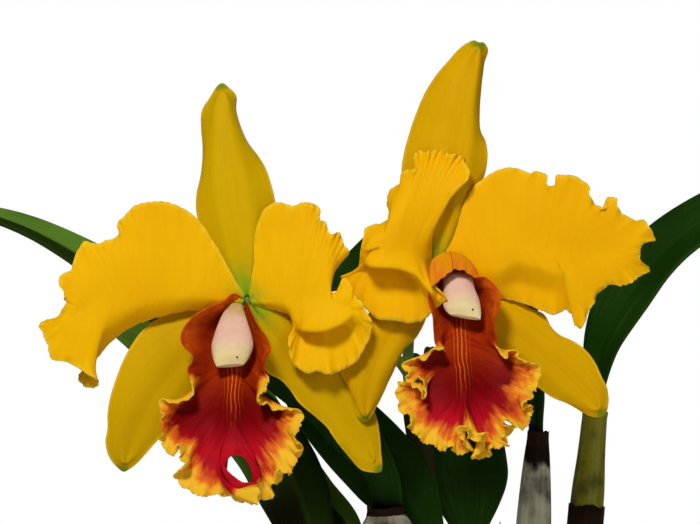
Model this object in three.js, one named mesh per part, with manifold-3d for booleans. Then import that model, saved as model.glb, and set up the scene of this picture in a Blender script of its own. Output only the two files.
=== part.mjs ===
// A cattleya orchid with two yellow blooms, growing in bark in a clay pot.
// Millimetres, +Z up. The origin is the centre of the pot's underside, and the blooms face -Y.
import * as THREE from 'three';
import { mergeVertices } from 'three/addons/utils/BufferGeometryUtils.js';
import Module from 'manifold-3d';

// ---- Driving dimensions -------------------------------------------------

const SEAT_GAP = 0.3;            // clearance between pieces that rest on or grow out of each other

const POT_HEIGHT = 118;
const POT_TOP_RADIUS = 73;       // outside, at the rim
const POT_FOOT_RADIUS = 50;
const POT_WALL = 5;
const POT_RIM_HEIGHT = 20;
const POT_RIM_STEP = 3.5;        // how far the rim band stands out of the wall
const POT_SIDES = 32;
const DRAIN_RADIUS = 6;
const DRAIN_CIRCLE = 27;         // radius of the ring of drain holes
const DRAIN_COUNT = 5;

const BARK_LEVEL = 101;          // top of the bark under its loose top layer
const CHIP_COUNT = 24;
const CHIP_SIZE = [22, 14, 9];

const BLOOM_FRONT = -70;         // Y of both blooms' centres
const PETAL_THICK = 0.8;
const SEPAL_THICK = 1.0;
const LIP_THICK = 0.8;
const LEAF_THICK = 2.2;

const RECEPTACLE_RADIUS = 3.6;
const RECEPTACLE_BACK = 3.4;     // how far its centre lies behind the bloom's
const STEM_RADIUS = 2.6;
const ANTHER_SHARE = 0.8;        // where on the column's length the anther cap begins

const RHIZOME_RADIUS = 5;
const ROOT_RADIUS = 1.9;

// Where each bloom's centre sits, and its pieces. Points are [across, up, forward] from that centre,
// where forward is towards -Y. An edge runs from the claw round the tip and back to the claw; tip is
// the index of its outermost point. A point may be followed by two via points, which its cross-line
// passes on the way from the midrib, where the blade is folded.
const LEFT_BLOOM = {
  centre: [-73.1, BLOOM_FRONT, 315.6],
  dorsal: {
    edge: [
      [-2.4, 1.5, -1], [-6, 8, -1], [-15, 22, -2], [-19, 32, -3], [-19.3, 40, -4], [-17.5, 48, -5],
      [-16.7, 56, -7], [-17, 64, -9], [-17, 71, -10], [-14.5, 76, -10], [-10, 82.4, -9],
      [-6.5, 80.3, -9], [-4.3, 77.5, -10], [-4.1, 72, -11], [-2.8, 66, -10], [0, 60, -8],
      [5.5, 52, -6], [8.5, 45, -4], [10.5, 37, -3.5], [11, 28, -3], [8, 16, -2], [2.4, 2, -1],
    ],
    tip: 10,
    rib: [[0, 1.5, -0.5], [-3, 20, 1.5], [-6, 40, 1], [-8.5, 60, -1], [-9.8, 80, -6]],
  },
  leftPetal: {
    edge: [
      [-1.2, 2.4, 1], [-5, 8.5, 2], [-11.5, 20, 2], [-20, 32, 2.5], [-30, 37, 3], [-38, 37, 3],
      [-43, 35.5, 2], [-46.5, 32, 3], [-49.3, 29.3, 2], [-48.3, 25, 3], [-53, 22.5, 2],
      [-57, 21.3, 3], [-61.5, 22, 2], [-64.5, 18.5, 3], [-67, 11.5, 3], [-70.5, 9.3, 2],
      [-71.6, 6.5, 3], [-69.8, 2.5, 4], [-68, -2.8, 1], [-71, -5.5, 0], [-76, -7.5, -1],
      [-79, -10, 0], [-76.5, -14, 1], [-75, -19, 3], [-74.3, -22.3, 4], [-69, -23.7, 4],
      [-65, -25.2, 5], [-58.5, -29.8, 6], [-56.6, -31.8, 3], [-58.5, -33.4, 0],
      [-62, -32.6, -4], [-63.5, -29, -8], [-60, -24, -10], [-54, -17.5, -10],
      [-48, -13, -8], [-40, -8, -5], [-30, -5.2, -2.5], [-15, -3.5, -0.5], [-2, -2, 0.5],
    ],
    tip: 21,
    rib: [[-1, 0.3, 0.8], [-15, 4, 4], [-30, 6, 4], [-45, 4, 4], [-58, -1, 4], [-66, -6, 4]],
  },
  rightPetal: {
    edge: [
      [0.8, 2.6, 1], [2.6, 14, 2], [3, 25, 2], [6.3, 34, 3], [11, 37, 3], [15, 36.2, 2],
      [18, 35.8, 3], [20.5, 37, 2], [24.5, 36.9, 3], [27.6, 35, 2], [26.8, 31, 4],
      [29.8, 29.5, 2], [31.3, 25.4, 4], [35, 25.3, 2], [36.6, 21.5, 3], [39, 17.2, 2],
      [35, 12.5, -4], [29, 7, -7], [30.5, 4.5, -5], [34, 5, -1], [36.5, 8.2, 3], [39, 7.5, 5],
      [41, 1.5, 6], [44, -2.5, 6], [47.2, -8, 6],
      [46.8, -14, 5, [40, -5, 8], [43, -9, 6]],
      [44.8, -18, 4, [38.5, -7, 9], [40, -10, 3]],
      [42, -23, 3, [36, -9, 10], [37, -9, 2]],
      [35, -27, 3, [32, -11, 10], [32, -9, 1]],
      [31, -28.3, 4, [29, -12, 10], [29, -9, 1]],
      [26.5, -27.2, 3, [26, -12.2, 9], [26, -9, 0]],
      [23, -27.9, 4, [23, -12, 8], [23.5, -10, 0]],
      [19, -25.5, 3, [21, -11.6, 7], [21, -11, 0]],
      [16.5, -21.5, 4, [20.5, -11, 6], [19.5, -11.5, 1]],
      [15.6, -17, 4, [20, -10, 5], [18.5, -11.5, 2]],
      [17, -13.3, 2], [21, -9.5, -1], [20, -6, -3], [14, -4.6, -3], [7, -3.5, -1], [2, -2, 0.5],
    ],
    tip: 24,
    rib: [[1, 0.3, 0.8], [12, 1.5, 4], [22, 0.5, 5], [32, -1, 7], [40, -3, 7]],
  },
  leftSepal: {
    edge: [
      [-2.4, -1, -1.2], [-15, -3, -4], [-28, -5, -7], [-38, -10, -7], [-45, -19, -6],
      [-48.7, -27, -6], [-51.5, -35, -6], [-53, -42, -6], [-53.2, -49, -6], [-54, -54, -6],
      [-52.5, -60, -7], [-47.5, -65.2, -8], [-44.5, -64, -7], [-41, -61, -6],
      [-36, -55.5, -5], [-32, -51, -5], [-26, -44, -5], [-19, -34, -5], [-12, -23, -4],
      [-6, -12, -3], [-0.6, -2.6, -1.2],
    ],
    tip: 11,
    rib: [[-1.4, -1.6, -1], [-14, -14, -2], [-28, -28, -3], [-40, -45, -4], [-46.5, -62, -6]],
  },
  rightSepal: {
    edge: [
      [2.4, -1, -1.2], [9, -2.6, -3], [16, -4.2, -4], [24, -9.5, -6], [32, -18, -8], [39, -28, -9],
      [45, -37, -10], [48.7, -44, -10], [50, -51, -9], [50.6, -58, -8], [51, -65.3, -7],
      [46, -65.5, -7], [43, -64.5, -7], [38, -59, -7], [33, -52.5, -6], [30, -48, -6],
      [25, -43.5, -6], [19.5, -39, -5], [16, -33.5, -5], [12.5, -30.3, -4], [7, -27, -4],
      [4.5, -18, -3], [0.6, -2.6, -1.2],
    ],
    tip: 10,
    rib: [[1.4, -1.6, -1], [11, -15, -2], [23, -29, -5], [36, -45, -7], [48, -61, -7]],
  },
  lip: {
    edge: [
      [-1.4, 0.6, 1.5],
      [-5, 2.4, 4, [-2.5, -0.5, 2.2], [-4, 1.2, 3.4]],
      [-9, -0.5, 8, [-4, -2.5, 3], [-7, -1.5, 6]],
      [-15, -3, 10, [-6.5, -6, 2.5], [-12, -5, 7]],
      [-20, -6, 11], [-24, -11, 11],
      [-25, -15, 12], [-23.5, -18, 13], [-20.5, -21, 14], [-20.5, -23.5, 16],
      [-22, -26.5, 17], [-20.5, -31.5, 21], [-23, -37, 24], [-27, -38.8, 25], [-31.5, -39.5, 24],
      [-31.5, -44, 26], [-33, -50, 26], [-32, -54.5, 25], [-29.8, -57, 27], [-26, -55, 30],
      [-24.5, -58, 30], [-25, -61, 28], [-22.5, -62.8, 31], [-26, -65, 28], [-24, -69.5, 27],
      [-19, -73, 27], [-15, -74.4, 27], [-10, -72.5, 28],
      [-4.5, -75.8, 27, [-8.5, -58, 34], [-8, -67, 31]],
      [0, -75, 27, [-8.5, -59, 34], [-5.5, -69.5, 31]],
      [1, -71, 29, [-8.5, -59.5, 34], [-6, -68, 32]],
      [-3, -67.7, 31, [-7.5, -59, 35], [-8, -64, 33]],
      [-7, -62.5, 33], [-5, -59, 34.5], [0.5, -61.3, 34],
      [2.8, -66, 32, [0, -57.5, 35], [3, -61, 34]],
      [1.4, -75.8, 26, [1, -57, 35], [4.5, -66, 31]],
      [5, -76.2, 26, [2, -58, 34], [5, -67, 30]],
      [11, -73, 26], [10, -70.3, 28], [12.5, -67.5, 27], [11.5, -64, 30], [16, -66.2, 27],
      [19.3, -59.5, 27], [18.3, -57, 29], [21, -56, 26], [19.8, -50, 28], [20.7, -46.5, 25],
      [20.3, -43.8, 25], [17.5, -42, 25], [13, -41, 24], [9, -38.5, 24], [5, -39.6, 28],
      [3.2, -38, 30], [6, -35.5, 28], [8.3, -32, 22], [6.5, -26, 18], [7.7, -21.5, 14],
      [9.2, -18.5, 12], [7.5, -14, 10], [4.5, -10, 8], [2.5, -6, 6], [0.4, -1.4, 3], [0, -0.6, 1.5],
    ],
    tip: 33,
    rib: [
      [-1, -2, 0], [-4, -10, -1], [-5, -19, 2], [-5, -27, 9], [-5, -35, 18], [-5, -43, 26],
      [-5, -51, 32],
    ],
  },
  column: {
    line: [[-1.2, -0.5, -0.5], [-4.6, -8.8, 5.5], [-4.9, -14.5, 9], [-6.2, -25.2, 15]],
    width: 15.8,
    sizes: [[0, 0.2, 0.25], [0.33, 0.59, 0.6], [0.56, 0.92, 0.95], [0.7, 1, 1], [0.89, 0.8, 0.75],
      [1, 0.56, 0.25]],
  },
};

const RIGHT_BLOOM = {
  centre: [-1.3, BLOOM_FRONT, 326.2],
  dorsal: {
    edge: [
      [-2.4, 1.5, -1], [-5.5, 10, -1], [-11, 26, -2], [-13, 38, -3], [-12, 46, -4], [-10, 53, -5],
      [-7.5, 60, -6], [-4, 68, -7], [0, 74, -8], [5, 80, -8], [10, 85.5, -8], [14.5, 88, -7],
      [16.2, 87.2, -7], [18, 87.3, -8], [19.8, 84.5, -9], [18.5, 79, -10], [17.3, 70, -10],
      [16.3, 60, -9], [16.3, 54, -7], [18.5, 49, -5], [19.3, 44, -4], [18.5, 38, -3.5],
      [14, 25, -3], [9, 12, -2], [2.4, 2, -1],
    ],
    tip: 12,
    rib: [[0, 1.5, -0.5], [3, 20, 1.5], [8, 45, 1], [12, 65, -1], [15.5, 84, -5]],
  },
  leftPetal: {
    edge: [
      [-1.2, 2.4, 1], [-3.5, 14, 3], [-3, 20, 4], [1, 27, 6], [6, 31.5, 8], [12, 35.5, 9],
      [12.7, 38.5, 7], [11, 41.5, 4], [10.5, 43.5, 2], [5, 45, 3], [2, 46.5, 1], [-3, 46, 3],
      [-8, 45, 1], [-7.5, 39, 6], [-10, 39, 4], [-13, 37.5, 3], [-14, 34, 4], [-16.5, 32.3, 3],
      [-19, 29, 3], [-16.5, 23, 2], [-15, 20.5, 5], [-19, 19.3, 6], [-23.5, 18, 7],
      [-27, 16.5, 8], [-27.5, 14, 9], [-28.5, 9, 9],
      [-30, 1, 0, [-24, 9, 12], [-27, 4.5, 8]],
      [-36, -2, -1, [-26.5, 4.5, 11], [-27, 1.5, 4]],
      [-33, -6.5, 0, [-25.5, 2.4, 13], [-26, 3.5, 3]],
      [-29.5, -10.5, 1, [-23.5, 1.8, 14], [-23.5, 3.5, 3]],
      [-23, -17.5, 3, [-20, 1.6, 14.5], [-20.5, 3.2, 3]],
      [-14, -18.7, 4, [-14, 1.2, 14.5], [-14.5, 2, 3]],
      [-10, -19.3, 4, [-10, 0, 14.5], [-10, -1, 3.5]],
      [-5.5, -18.5, 5, [-7.5, -3.5, 15], [-7, -6, 4]],
      [0, -15, 7, [-4.5, -8.5, 15], [-3, -11, 7]],
      [3, -13, 10, [-1, -9.9, 16], [0.5, -11.2, 11]],
      [4.7, -10.3, 15], [2, -7, 13], [-2, -3, 9], [-1.8, -1.6, 1],
    ],
    tip: 25,
    rib: [[-1, 0.3, 0.8], [-6, 6, 7], [-12, 9, 11], [-19, 9.5, 13], [-24, 9, 13]],
  },
  rightPetal: {
    edge: [
      [1, 2.6, 1], [7, 14, 2], [9.5, 23, 2], [13, 31, 2], [18, 35.5, 3], [24, 39, 3],
      [30, 39.5, 2], [36, 37.5, 3], [38, 38.5, 2], [42.3, 36.5, 3], [42, 33.3, 5],
      [44.8, 33, 4], [45.5, 36.3, 2], [49.5, 37, 3], [54, 35.8, 2], [57.8, 33.2, 3],
      [58, 30, 4], [61, 25.5, 3], [63.5, 24.6, 5], [64.7, 28.2, 2], [68.5, 27.8, 2],
      [69, 24.3, 3], [72, 21.5, 3], [76, 19.7, 2], [79, 20, 1], [81, 17, 2], [83.2, 12, 0],
      [77.6, 11, 4], [76.8, 5, 3], [81.7, 1, 0], [77.5, -1.5, 2], [74, -4, 3], [70, -5, 2],
      [66.5, -4.8, 3], [62, -8, 2], [60, -12, 3], [57.5, -15.5, 2], [55, -21.3, 3],
      [53.3, -20.8, 2],
      [50, -14.6, 0, [49, -1, 5], [50, -8, 3]],
      [47.5, -15.4, -1, [45, 0, 5], [46, -7, 1]],
      [44.5, -16.3, -1, [41, 1, 5], [42.5, -7, 0]],
      [41, -15, -1.5, [37, 2, 4.5], [38.5, -6, -0.5]],
      [33, -12, -2, [30, 3, 4], [31, -4, -1]],
      [25, -10, -2], [14, -7, -1], [2, -2, 0.5],
    ],
    tip: 28,
    rib: [[1, 0.3, 0.8], [15, 4, 4], [30, 8, 5], [45, 9, 5], [60, 8, 4], [70, 7, 4]],
  },
  leftSepal: {
    edge: [
      [-2.4, -1, -1.2], [-14, -6, -3], [-24, -14, -4], [-31, -24, -5], [-35, -33, -5],
      [-36, -38, -5], [-33, -44.5, -5], [-31, -50, -5], [-29.7, -55, -5], [-27, -57, -5],
      [-25, -55.5, -5], [-22.8, -50.5, -5], [-19.5, -44, -5], [-16, -37, -5],
      [-12, -29.5, -5], [-8, -25.5, -4], [-4, -18, -3], [-0.6, -2.6, -1.2],
    ],
    tip: 9,
    rib: [[-1.4, -1.6, -1], [-11, -14, -2], [-19, -28, -3], [-25, -42, -3], [-27, -55, -4]],
  },
  rightSepal: {
    edge: [
      [2.4, -1, -1.2], [12, -5, -3], [22, -9, -5], [31, -11.5, -6], [36, -14, -6], [41, -16, -6],
      [44, -21, -5], [47, -24, -5], [51.5, -26, -5], [56, -29, -5], [59.5, -33, -5],
      [63, -40, -5], [65, -45, -6], [65.5, -50, -6], [64, -54.8, -6], [60, -55.2, -6],
      [56, -53.5, -6], [50, -50, -5], [44, -47.5, -5], [38, -43, -5], [30, -36, -5],
      [22, -27, -4], [12, -15, -3], [0.6, -2.6, -1.2],
    ],
    tip: 14,
    rib: [[1.4, -1.6, -1], [18, -15, -1], [35, -28, -2], [50, -40, -3], [62, -52, -5]],
  },
  lip: {
    edge: [
      [6.5, 1, 13.5, [3.5, 3, 2], [5.4, 7.4, 7]],
      [1.5, -1, 14, [1.4, 2.5, 3], [1, 6.6, 8]],
      [-2, -2.6, 14.5, [-0.6, -0.5, 5], [-2.6, 3, 11]],
      [-4, -6, 14], [-3.5, -10, 13], [-1.5, -16, 13],
      [-1, -21, 14], [-0.6, -27, 18], [3, -29.2, 26], [-2, -30, 25], [-5, -31.7, 25],
      [-10.5, -32.5, 25], [-12, -35, 26], [-10.5, -37, 27], [-11, -40.3, 27],
      [-7, -41.7, 29], [-5, -44, 31], [-5.5, -47.3, 33], [-9, -43.5, 30], [-13.5, -40.5, 26],
      [-15.5, -45.5, 26], [-13.2, -48, 28], [-14.3, -51, 27], [-11.5, -54.5, 29],
      [-11, -58.5, 28], [-7.5, -61.8, 29], [-2, -64.6, 29], [1, -66.8, 28], [4, -67.3, 28],
      [6.3, -66.3, 30], [7.5, -68.5, 28], [12, -67.5, 30], [9.5, -60.5, 35],
      [12.5, -58.3, 36], [13, -62.8, 34], [17.5, -60.8, 35], [17, -65.5, 31], [14.8, -70, 29],
      [18, -70.3, 27], [20, -67.3, 29], [26.5, -65.3, 26], [24, -62, 29], [27, -60.5, 27],
      [26, -57.2, 30], [31.5, -60, 26], [34.5, -57, 25], [35.8, -51, 25], [33.5, -50.4, 27],
      [37, -47, 24], [36, -44.5, 26], [38.5, -40.5, 24], [37.6, -33.5, 23], [33, -34, 25],
      [29.5, -30.8, 23], [26.5, -32.3, 24], [24, -30, 22], [22.5, -24, 18], [21.7, -18.5, 15],
      [23.7, -14, 13], [24.3, -9, 12], [23, -6, 11], [18.6, -2.1, 10],
      [14.2, -2, 12.5, [5.5, 0.5, 2], [14, 2, 7]],
      [10.6, 0.5, 13, [4.5, 2, 2], [9.6, 6.4, 6.5]],
      [6.5, 1, 13.5, [3.5, 3, 2], [5.4, 7.4, 7]],
    ],
    tip: 33,
    rib: [
      [1.2, -2, 0], [6, -8, -1], [8.5, -15, 2], [9, -23, 9], [9.5, -32, 18], [10, -41, 26],
      [10.5, -51, 33],
    ],
  },
  column: {
    line: [[2, 0.2, -0.8], [7.3, -2.6, 5], [8.8, -9, 9], [11.2, -18.6, 15]],
    width: 13.7,
    sizes: [[0, 0.3, 0.3], [0.2, 0.7, 0.6], [0.36, 0.94, 0.9], [0.55, 1, 1], [0.78, 0.95, 0.95],
      [0.9, 0.82, 0.75], [1, 0.62, 0.25]],
  },
};

// The pseudobulbs: foot on the rhizome, top under the leaf, greatest radius, radius of the neck, and
// the share of the length at which the neck begins. The last is the oldest.
const BULBS = [
  { foot: [-34, 10, 111], top: [-34, 7, 209], radius: 10, neck: 4.6, shoulder: 0.8 },
  { foot: [-14, -13, 111], top: [-20.2, -22, 234.5], radius: 10.5, neck: 7, shoulder: 0.95 },
  { foot: [2, -2, 111], top: [-0.4, 0.5, 213], radius: 9.5, neck: 6.2, shoulder: 0.85 },
  { foot: [16, 12, 111], top: [12.7, 16, 213], radius: 9, neck: 4.6, shoulder: 0.8 },
  { foot: [32, 21, 111], top: [39.6, 20, 262], radius: 7.2, neck: 3.6, shoulder: 0.92 },
  { foot: [48, 31, 111], top: [62.3, 34, 270], radius: 6.8, neck: 4.9, shoulder: 0.8 },
  { foot: [-50, -14, 111], top: [-47, -9, 188], radius: 10, neck: 5, shoulder: 0.8 },
];

// The leaves, one on each. The line runs from the leaf's foot to its tip along the
// midrib, the face is the way the upper side looks at the foot and at the tip, the fold is how
// steeply each half rises from the midrib, and the foot is a share of the width.
const LEAVES = [
  { // low on the left, sweeping out behind the left bloom
    line: [[-34, 7, 210], [-35.5, 9.5, 227], [-48, 14, 240.5], [-61.5, 17, 255.5], [-75, 20, 272.5],
      [-86, 22, 289.5], [-102, 25, 305], [-121, 28, 319], [-142, 31, 333], [-164, 34, 344], [-190, 38, 352]],
    width: 36, foot: 0.3, face: [[0.57, -0.7, 0.43], [0.48, -0.25, 0.84]], fold: 0.22,
  },
  { // behind the left bloom's right sepal, ending behind its lip
    line: [[-20.5, -22, 235.3], [-23, -28, 246], [-29.6, -33, 256.5], [-38, -35, 266.3],
      [-46.7, -36, 275], [-57, -36, 283], [-70.5, -35, 295], [-82, -33, 308]],
    width: 24, foot: 0.6, face: [[0.5, 0.75, 0.4], [0.5, 0.75, 0.4]], fold: 0.35,
  },
  { // on the flower's own pseudobulb, leaning left
    line: [[-1.2, -4.2, 214.4], [-5, -10, 227], [-13, -13.5, 241], [-23, -14, 252.5],
      [-34, -13, 264], [-46.5, -9, 277], [-58, -4, 291]],
    width: 30, foot: 0.34, face: [[0.1, 0.95, -0.1], [-0.2, 0.9, 0.1]], fold: 0.2,
  },
  { // broad and upright behind the right lip
    line: [[12.7, 16, 213.5], [12.2, 17, 236], [9.6, 18, 257], [3.2, 18, 275], [-5, 17, 292]],
    width: 33, foot: 0.2, face: [[0, -1, 0.1], [0, -1, 0.1]], fold: 0.25,
  },
  { // arching left behind the right bloom
    line: [[39.6, 20, 262.7], [38.4, 19, 277], [28, 17, 304], [10, 16, 330], [-12, 15, 336],
      [-32, 16, 325], [-47.5, 18, 320]],
    width: 34, foot: 0.2, face: [[-0.6, -0.7, 0.4], [-0.3, -0.5, 0.8]], fold: 0.4,
  },
  { // arching right out beyond the right bloom
    line: [[62.3, 34, 271], [63, 32, 284], [67, 29, 301], [78, 26, 320], [92, 24, 336],
      [109, 25, 348], [130, 28, 358], [150, 31, 364]],
    width: 28, foot: 0.3, face: [[-0.4, -0.8, 0.4], [-0.64, -0.56, 0.53]], fold: 0.3,
  },
  { // low on the left too, between the first leaf and the flower's own, ending behind the petal
    line: [[-47, -9, 188.9], [-48, -8, 200], [-49.5, -7, 214], [-53, -6, 230], [-60, -5, 246],
      [-68.5, -6, 260], [-81, -7, 273], [-98, -7, 287], [-116, -6, 300.5], [-127, -5, 307]],
    width: 33, foot: 0.3, face: [[0.3, -0.9, 0.2], [0.4, -0.6, 0.7]], fold: 0.2,
  },
];

// The youngest growth, and the flower stem with its sheath.
const SHOOT = { foot: [24, -18, 104], top: [24, -18, 230] };
const PEDUNCLE = [[0.3, 2.6, 213.6], [-5.2, 2, 249], [-10.7, 1.4, 284], [-11, 0, 290]];
const SHEATH_BASE = [0.3, 2.6, 213.9];
const SHEATH_TOP = [-9.5, 1.5, 276.5];
LEFT_BLOOM.pedicel = [[-10.9, 1, 286], [-14.5, -4, 291], [-28, -22, 302], [-46, -42, 311],
  [-62, -57, 315.4]];
RIGHT_BLOOM.pedicel = [[-10.9, 1, 286], [-11.5, -8, 296], [-10, -28, 311], [-5, -50, 322]];

// The rhizome creeps from the oldest pseudobulb to the newest. Roots wander over the bark, and two
// climb over the pot's rim.
const RHIZOME = [
  [-53, -18, 109], [-50, -14, 109], [-34, 10, 109], [-14, -13, 109.5], [2, -2, 109],
  [16, 12, 109], [32, 21, 109.5], [48, 31, 109], [51, 33, 109],
];
const ROOTS = [
  [[-34, 8, 109], [-42, 24, 109], [-38, 40, 106], [-28, 48, 103]],
  [[-13, -12, 109], [-26, -26, 109], [-30, -40, 107], [-20, -52, 103]],
  [[-11, -12, 109], [-2, -26, 109], [3, -42, 110], [4, -55, 113], [4, -61, 118], [5, -68.7, 121.2],
    [6, -76.4, 116], [6, -76.6, 100], [4, -75.6, 88]],
  [[2, 0, 109], [-4, 20, 109], [-8, 36, 107], [0, 50, 103]],
  [[30, 19, 109], [42, 12, 110], [54, 9, 113], [61, 9, 118], [68.5, 10, 121.2], [76.4, 11, 115],
    [76.6, 12, 98]],
  [[46, 31, 109], [38, 42, 108], [24, 51, 105], [14, 53, 103]],
];

// ---- Small helpers ------------------------------------------------------

const wasm = await Module();
wasm.setup();

/** Blend of two numbers. */
const mix = (a, b, t) => a + (b - a) * t;

/** The same random sequence on every run. */
function randomFrom(seed) {
  let state = seed;
  return () => {
    state = (state * 1664525 + 1013904223) % 4294967296;
    return state / 4294967296;
  };
}

/** Running length along a list of points. */
function chordKnots(points) {
  const knots = [0];
  for (let i = 1; i < points.length; i++) {
    const step = Math.hypot(...points[i].map((value, k) => value - points[i - 1][k]));
    knots.push(knots[i - 1] + step);
  }
  return knots;
}

/** Smooth curve through rows of numbers at rising knots (Catmull-Rom with uneven steps). */
function spline(knots, rows, at) {
  const last = rows.length - 1;
  let i = 0;
  while (i < last - 1 && at > knots[i + 1]) i++;
  const step = knots[i + 1] - knots[i];
  const t = (at - knots[i]) / step;
  const slope = (k, axis) => {
    const a = Math.max(k - 1, 0);
    const b = Math.min(k + 1, last);
    return (rows[b][axis] - rows[a][axis]) / (knots[b] - knots[a]);
  };
  return rows[i].map((from, axis) => {
    const to = rows[i + 1][axis];
    const m0 = slope(i, axis) * step;
    const m1 = slope(i + 1, axis) * step;
    const square = t * t;
    const cube = square * t;
    return from * (2 * cube - 3 * square + 1) + m0 * (cube - 2 * square + t)
      + to * (3 * square - 2 * cube) + m1 * (cube - square);
  });
}

/** A bloom's [across, up, forward] as a point of the part. */
function inBloom(centre, [across, up, forward]) {
  return new THREE.Vector3(centre[0] + across, centre[1] - forward, centre[2] + up);
}

/** A closed sheet: the surface through a grid of points, thickened evenly to both sides. */
function sheet(points, faces, thickness) {
  const normals = points.map(() => new THREE.Vector3());
  const edgeA = new THREE.Vector3();
  const edgeB = new THREE.Vector3();
  for (const [a, b, c] of faces) {
    edgeA.subVectors(points[b], points[a]);
    edgeB.subVectors(points[c], points[a]);
    const normal = edgeA.clone().cross(edgeB);
    for (const k of [a, b, c]) normals[k].add(normal);
  }
  const count = points.length;
  const positions = [];
  for (const side of [0.5, -0.5]) {
    points.forEach((point, k) => {
      const offset = normals[k].clone().normalize().multiplyScalar(side * thickness);
      positions.push(...point.clone().add(offset).toArray());
    });
  }
  const index = [];
  const open = new Map();
  for (const [a, b, c] of faces) {
    index.push(a, b, c, count + a, count + c, count + b);
    for (const [from, to] of [[a, b], [b, c], [c, a]]) {
      if (!open.delete(`${to},${from}`)) open.set(`${from},${to}`, [from, to]);
    }
  }
  for (const [from, to] of open.values()) {
    index.push(to, from, count + from, to, count + from, count + to);
  }
  const geometry = new THREE.BufferGeometry();
  geometry.setAttribute('position', new THREE.Float32BufferAttribute(positions, 3));
  geometry.setIndex(index);
  return geometry;
}

/** Two triangles for each cell of a grid whose corners are looked up by name. */
function gridFaces(cellsAlong, cellsAcross, corner) {
  const faces = [];
  for (let i = 0; i < cellsAlong; i++) {
    for (let j = 0; j < cellsAcross; j++) {
      const quad = [corner(i, j), corner(i + 1, j), corner(i + 1, j + 1), corner(i, j + 1)];
      for (const face of [[quad[0], quad[1], quad[2]], [quad[0], quad[2], quad[3]]]) {
        if (new Set(face).size === 3) faces.push(face);
      }
    }
  }
  return faces;
}

/** A mesh's geometry as a solid that can be joined and cut. */
function toSolid(geometry) {
  const bare = geometry.clone();
  bare.deleteAttribute('normal');
  bare.deleteAttribute('uv');
  const merged = mergeVertices(bare, 1e-3);
  return new wasm.Manifold(new wasm.Mesh({
    numProp: 3,
    vertProperties: merged.attributes.position.array,
    triVerts: new Uint32Array(merged.index.array),
  }));
}

/** A joined or cut solid as a geometry. */
function fromSolid(solid) {
  const mesh = solid.getMesh();
  const geometry = new THREE.BufferGeometry();
  geometry.setAttribute('position', new THREE.Float32BufferAttribute(mesh.vertProperties, 3));
  geometry.setIndex(Array.from(mesh.triVerts));
  return geometry;
}

/** The largest separate body of a cut solid, without the loose crumbs and slivers of the cut. */
function mainBody(solid) {
  const bodies = solid.simplify(0.04).decompose();
  return bodies.reduce((best, next) => (next.volume() > best.volume() ? next : best));
}

// ---- Blades: sepals, petals and lips ------------------------------------

/**
 * A flower blade. Cross-lines run from the midrib to points spaced evenly along the edge, so the
 * grid fans out like a feather, and the waves of the edge fade towards the midrib. Where the edge
 * ends on its first point, the blade closes into a funnel.
 */
function blade(centre, shape, { around, across, thickness, cup, wave, waves, fade = 3 }) {
  const edge = shape.edge.map((entry) => entry.slice(0, 3));
  const knots = chordKnots(edge);
  const ribKnots = chordKnots(shape.rib);
  const ribLength = ribKnots.at(-1);
  const tipAt = knots[shape.tip];
  const footAt = (w) => spline(ribKnots, shape.rib, ribLength * (1 - Math.abs(2 * w - 1) ** 1.3));
  const placeOf = (w) => (w < 0.5 ? 2 * w * tipAt : mix(tipAt, knots.at(-1), 2 * w - 1));
  const wOf = (at) => (at < tipAt ? at / tipAt / 2 : 0.5 + (at - tipAt) / (knots.at(-1) - tipAt) / 2);
  const via = [1, 2].map((k) => shape.edge.map((entry, i) => {
    if (entry.length > 3) return entry[2 + k];
    const foot = footAt(wOf(knots[i]));
    const t = k / 3;
    const bulge = cup * 4 * t * (1 - t);
    return [
      mix(foot[0], entry[0], t), mix(foot[1], entry[1], t), mix(foot[2], entry[2], t * t) + bulge,
    ];
  }));
  const rows = [];
  for (let i = 0; i <= around; i++) {
    const w = i / around;
    const at = placeOf(w);
    const line = [
      footAt(w), spline(knots, via[0], at), spline(knots, via[1], at), spline(knots, edge, at),
    ];
    const row = [];
    for (let j = 0; j <= across; j++) {
      row.push(inBloom(centre, spline([0, 1, 2, 3], line, 3 * j / across)));
    }
    rows.push(row);
  }
  const ruffled = rows.map((row, i) => row.map((point, j) => {
    const w = i / around;
    const calm = Math.sin(Math.PI * w) ** 0.7;
    const height = wave * calm * (j / across) ** fade * Math.sin(2 * Math.PI * waves * w);
    if (j === 0 || height === 0) return point;
    const alongEdge = rows[Math.min(i + 1, around)][j].clone().sub(rows[Math.max(i - 1, 0)][j]);
    const outwards = rows[i][Math.min(j + 1, across)].clone().sub(row[j - 1]);
    const normal = alongEdge.cross(outwards).normalize();
    return point.clone().addScaledVector(normal, height);
  }));
  const closed = edge[0].every((value, k) => value === edge.at(-1)[k]);
  const points = [];
  const number = new Map();
  for (let i = 0; i <= around; i++) {
    for (let j = 0; j <= across; j++) {
      const home = j === 0 ? Math.min(i, around - i) : i % (closed ? around : around + 1);
      const key = `${home},${j}`;
      if (!number.has(key)) {
        number.set(key, points.length);
        points.push(ruffled[home][j]);
      }
      number.set(`${i},${j}`, number.get(key));
    }
  }
  const faces = gridFaces(around, across, (i, j) => number.get(`${i},${j}`));
  return sheet(points, faces, thickness);
}

// ---- Leaves -------------------------------------------------------------

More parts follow.
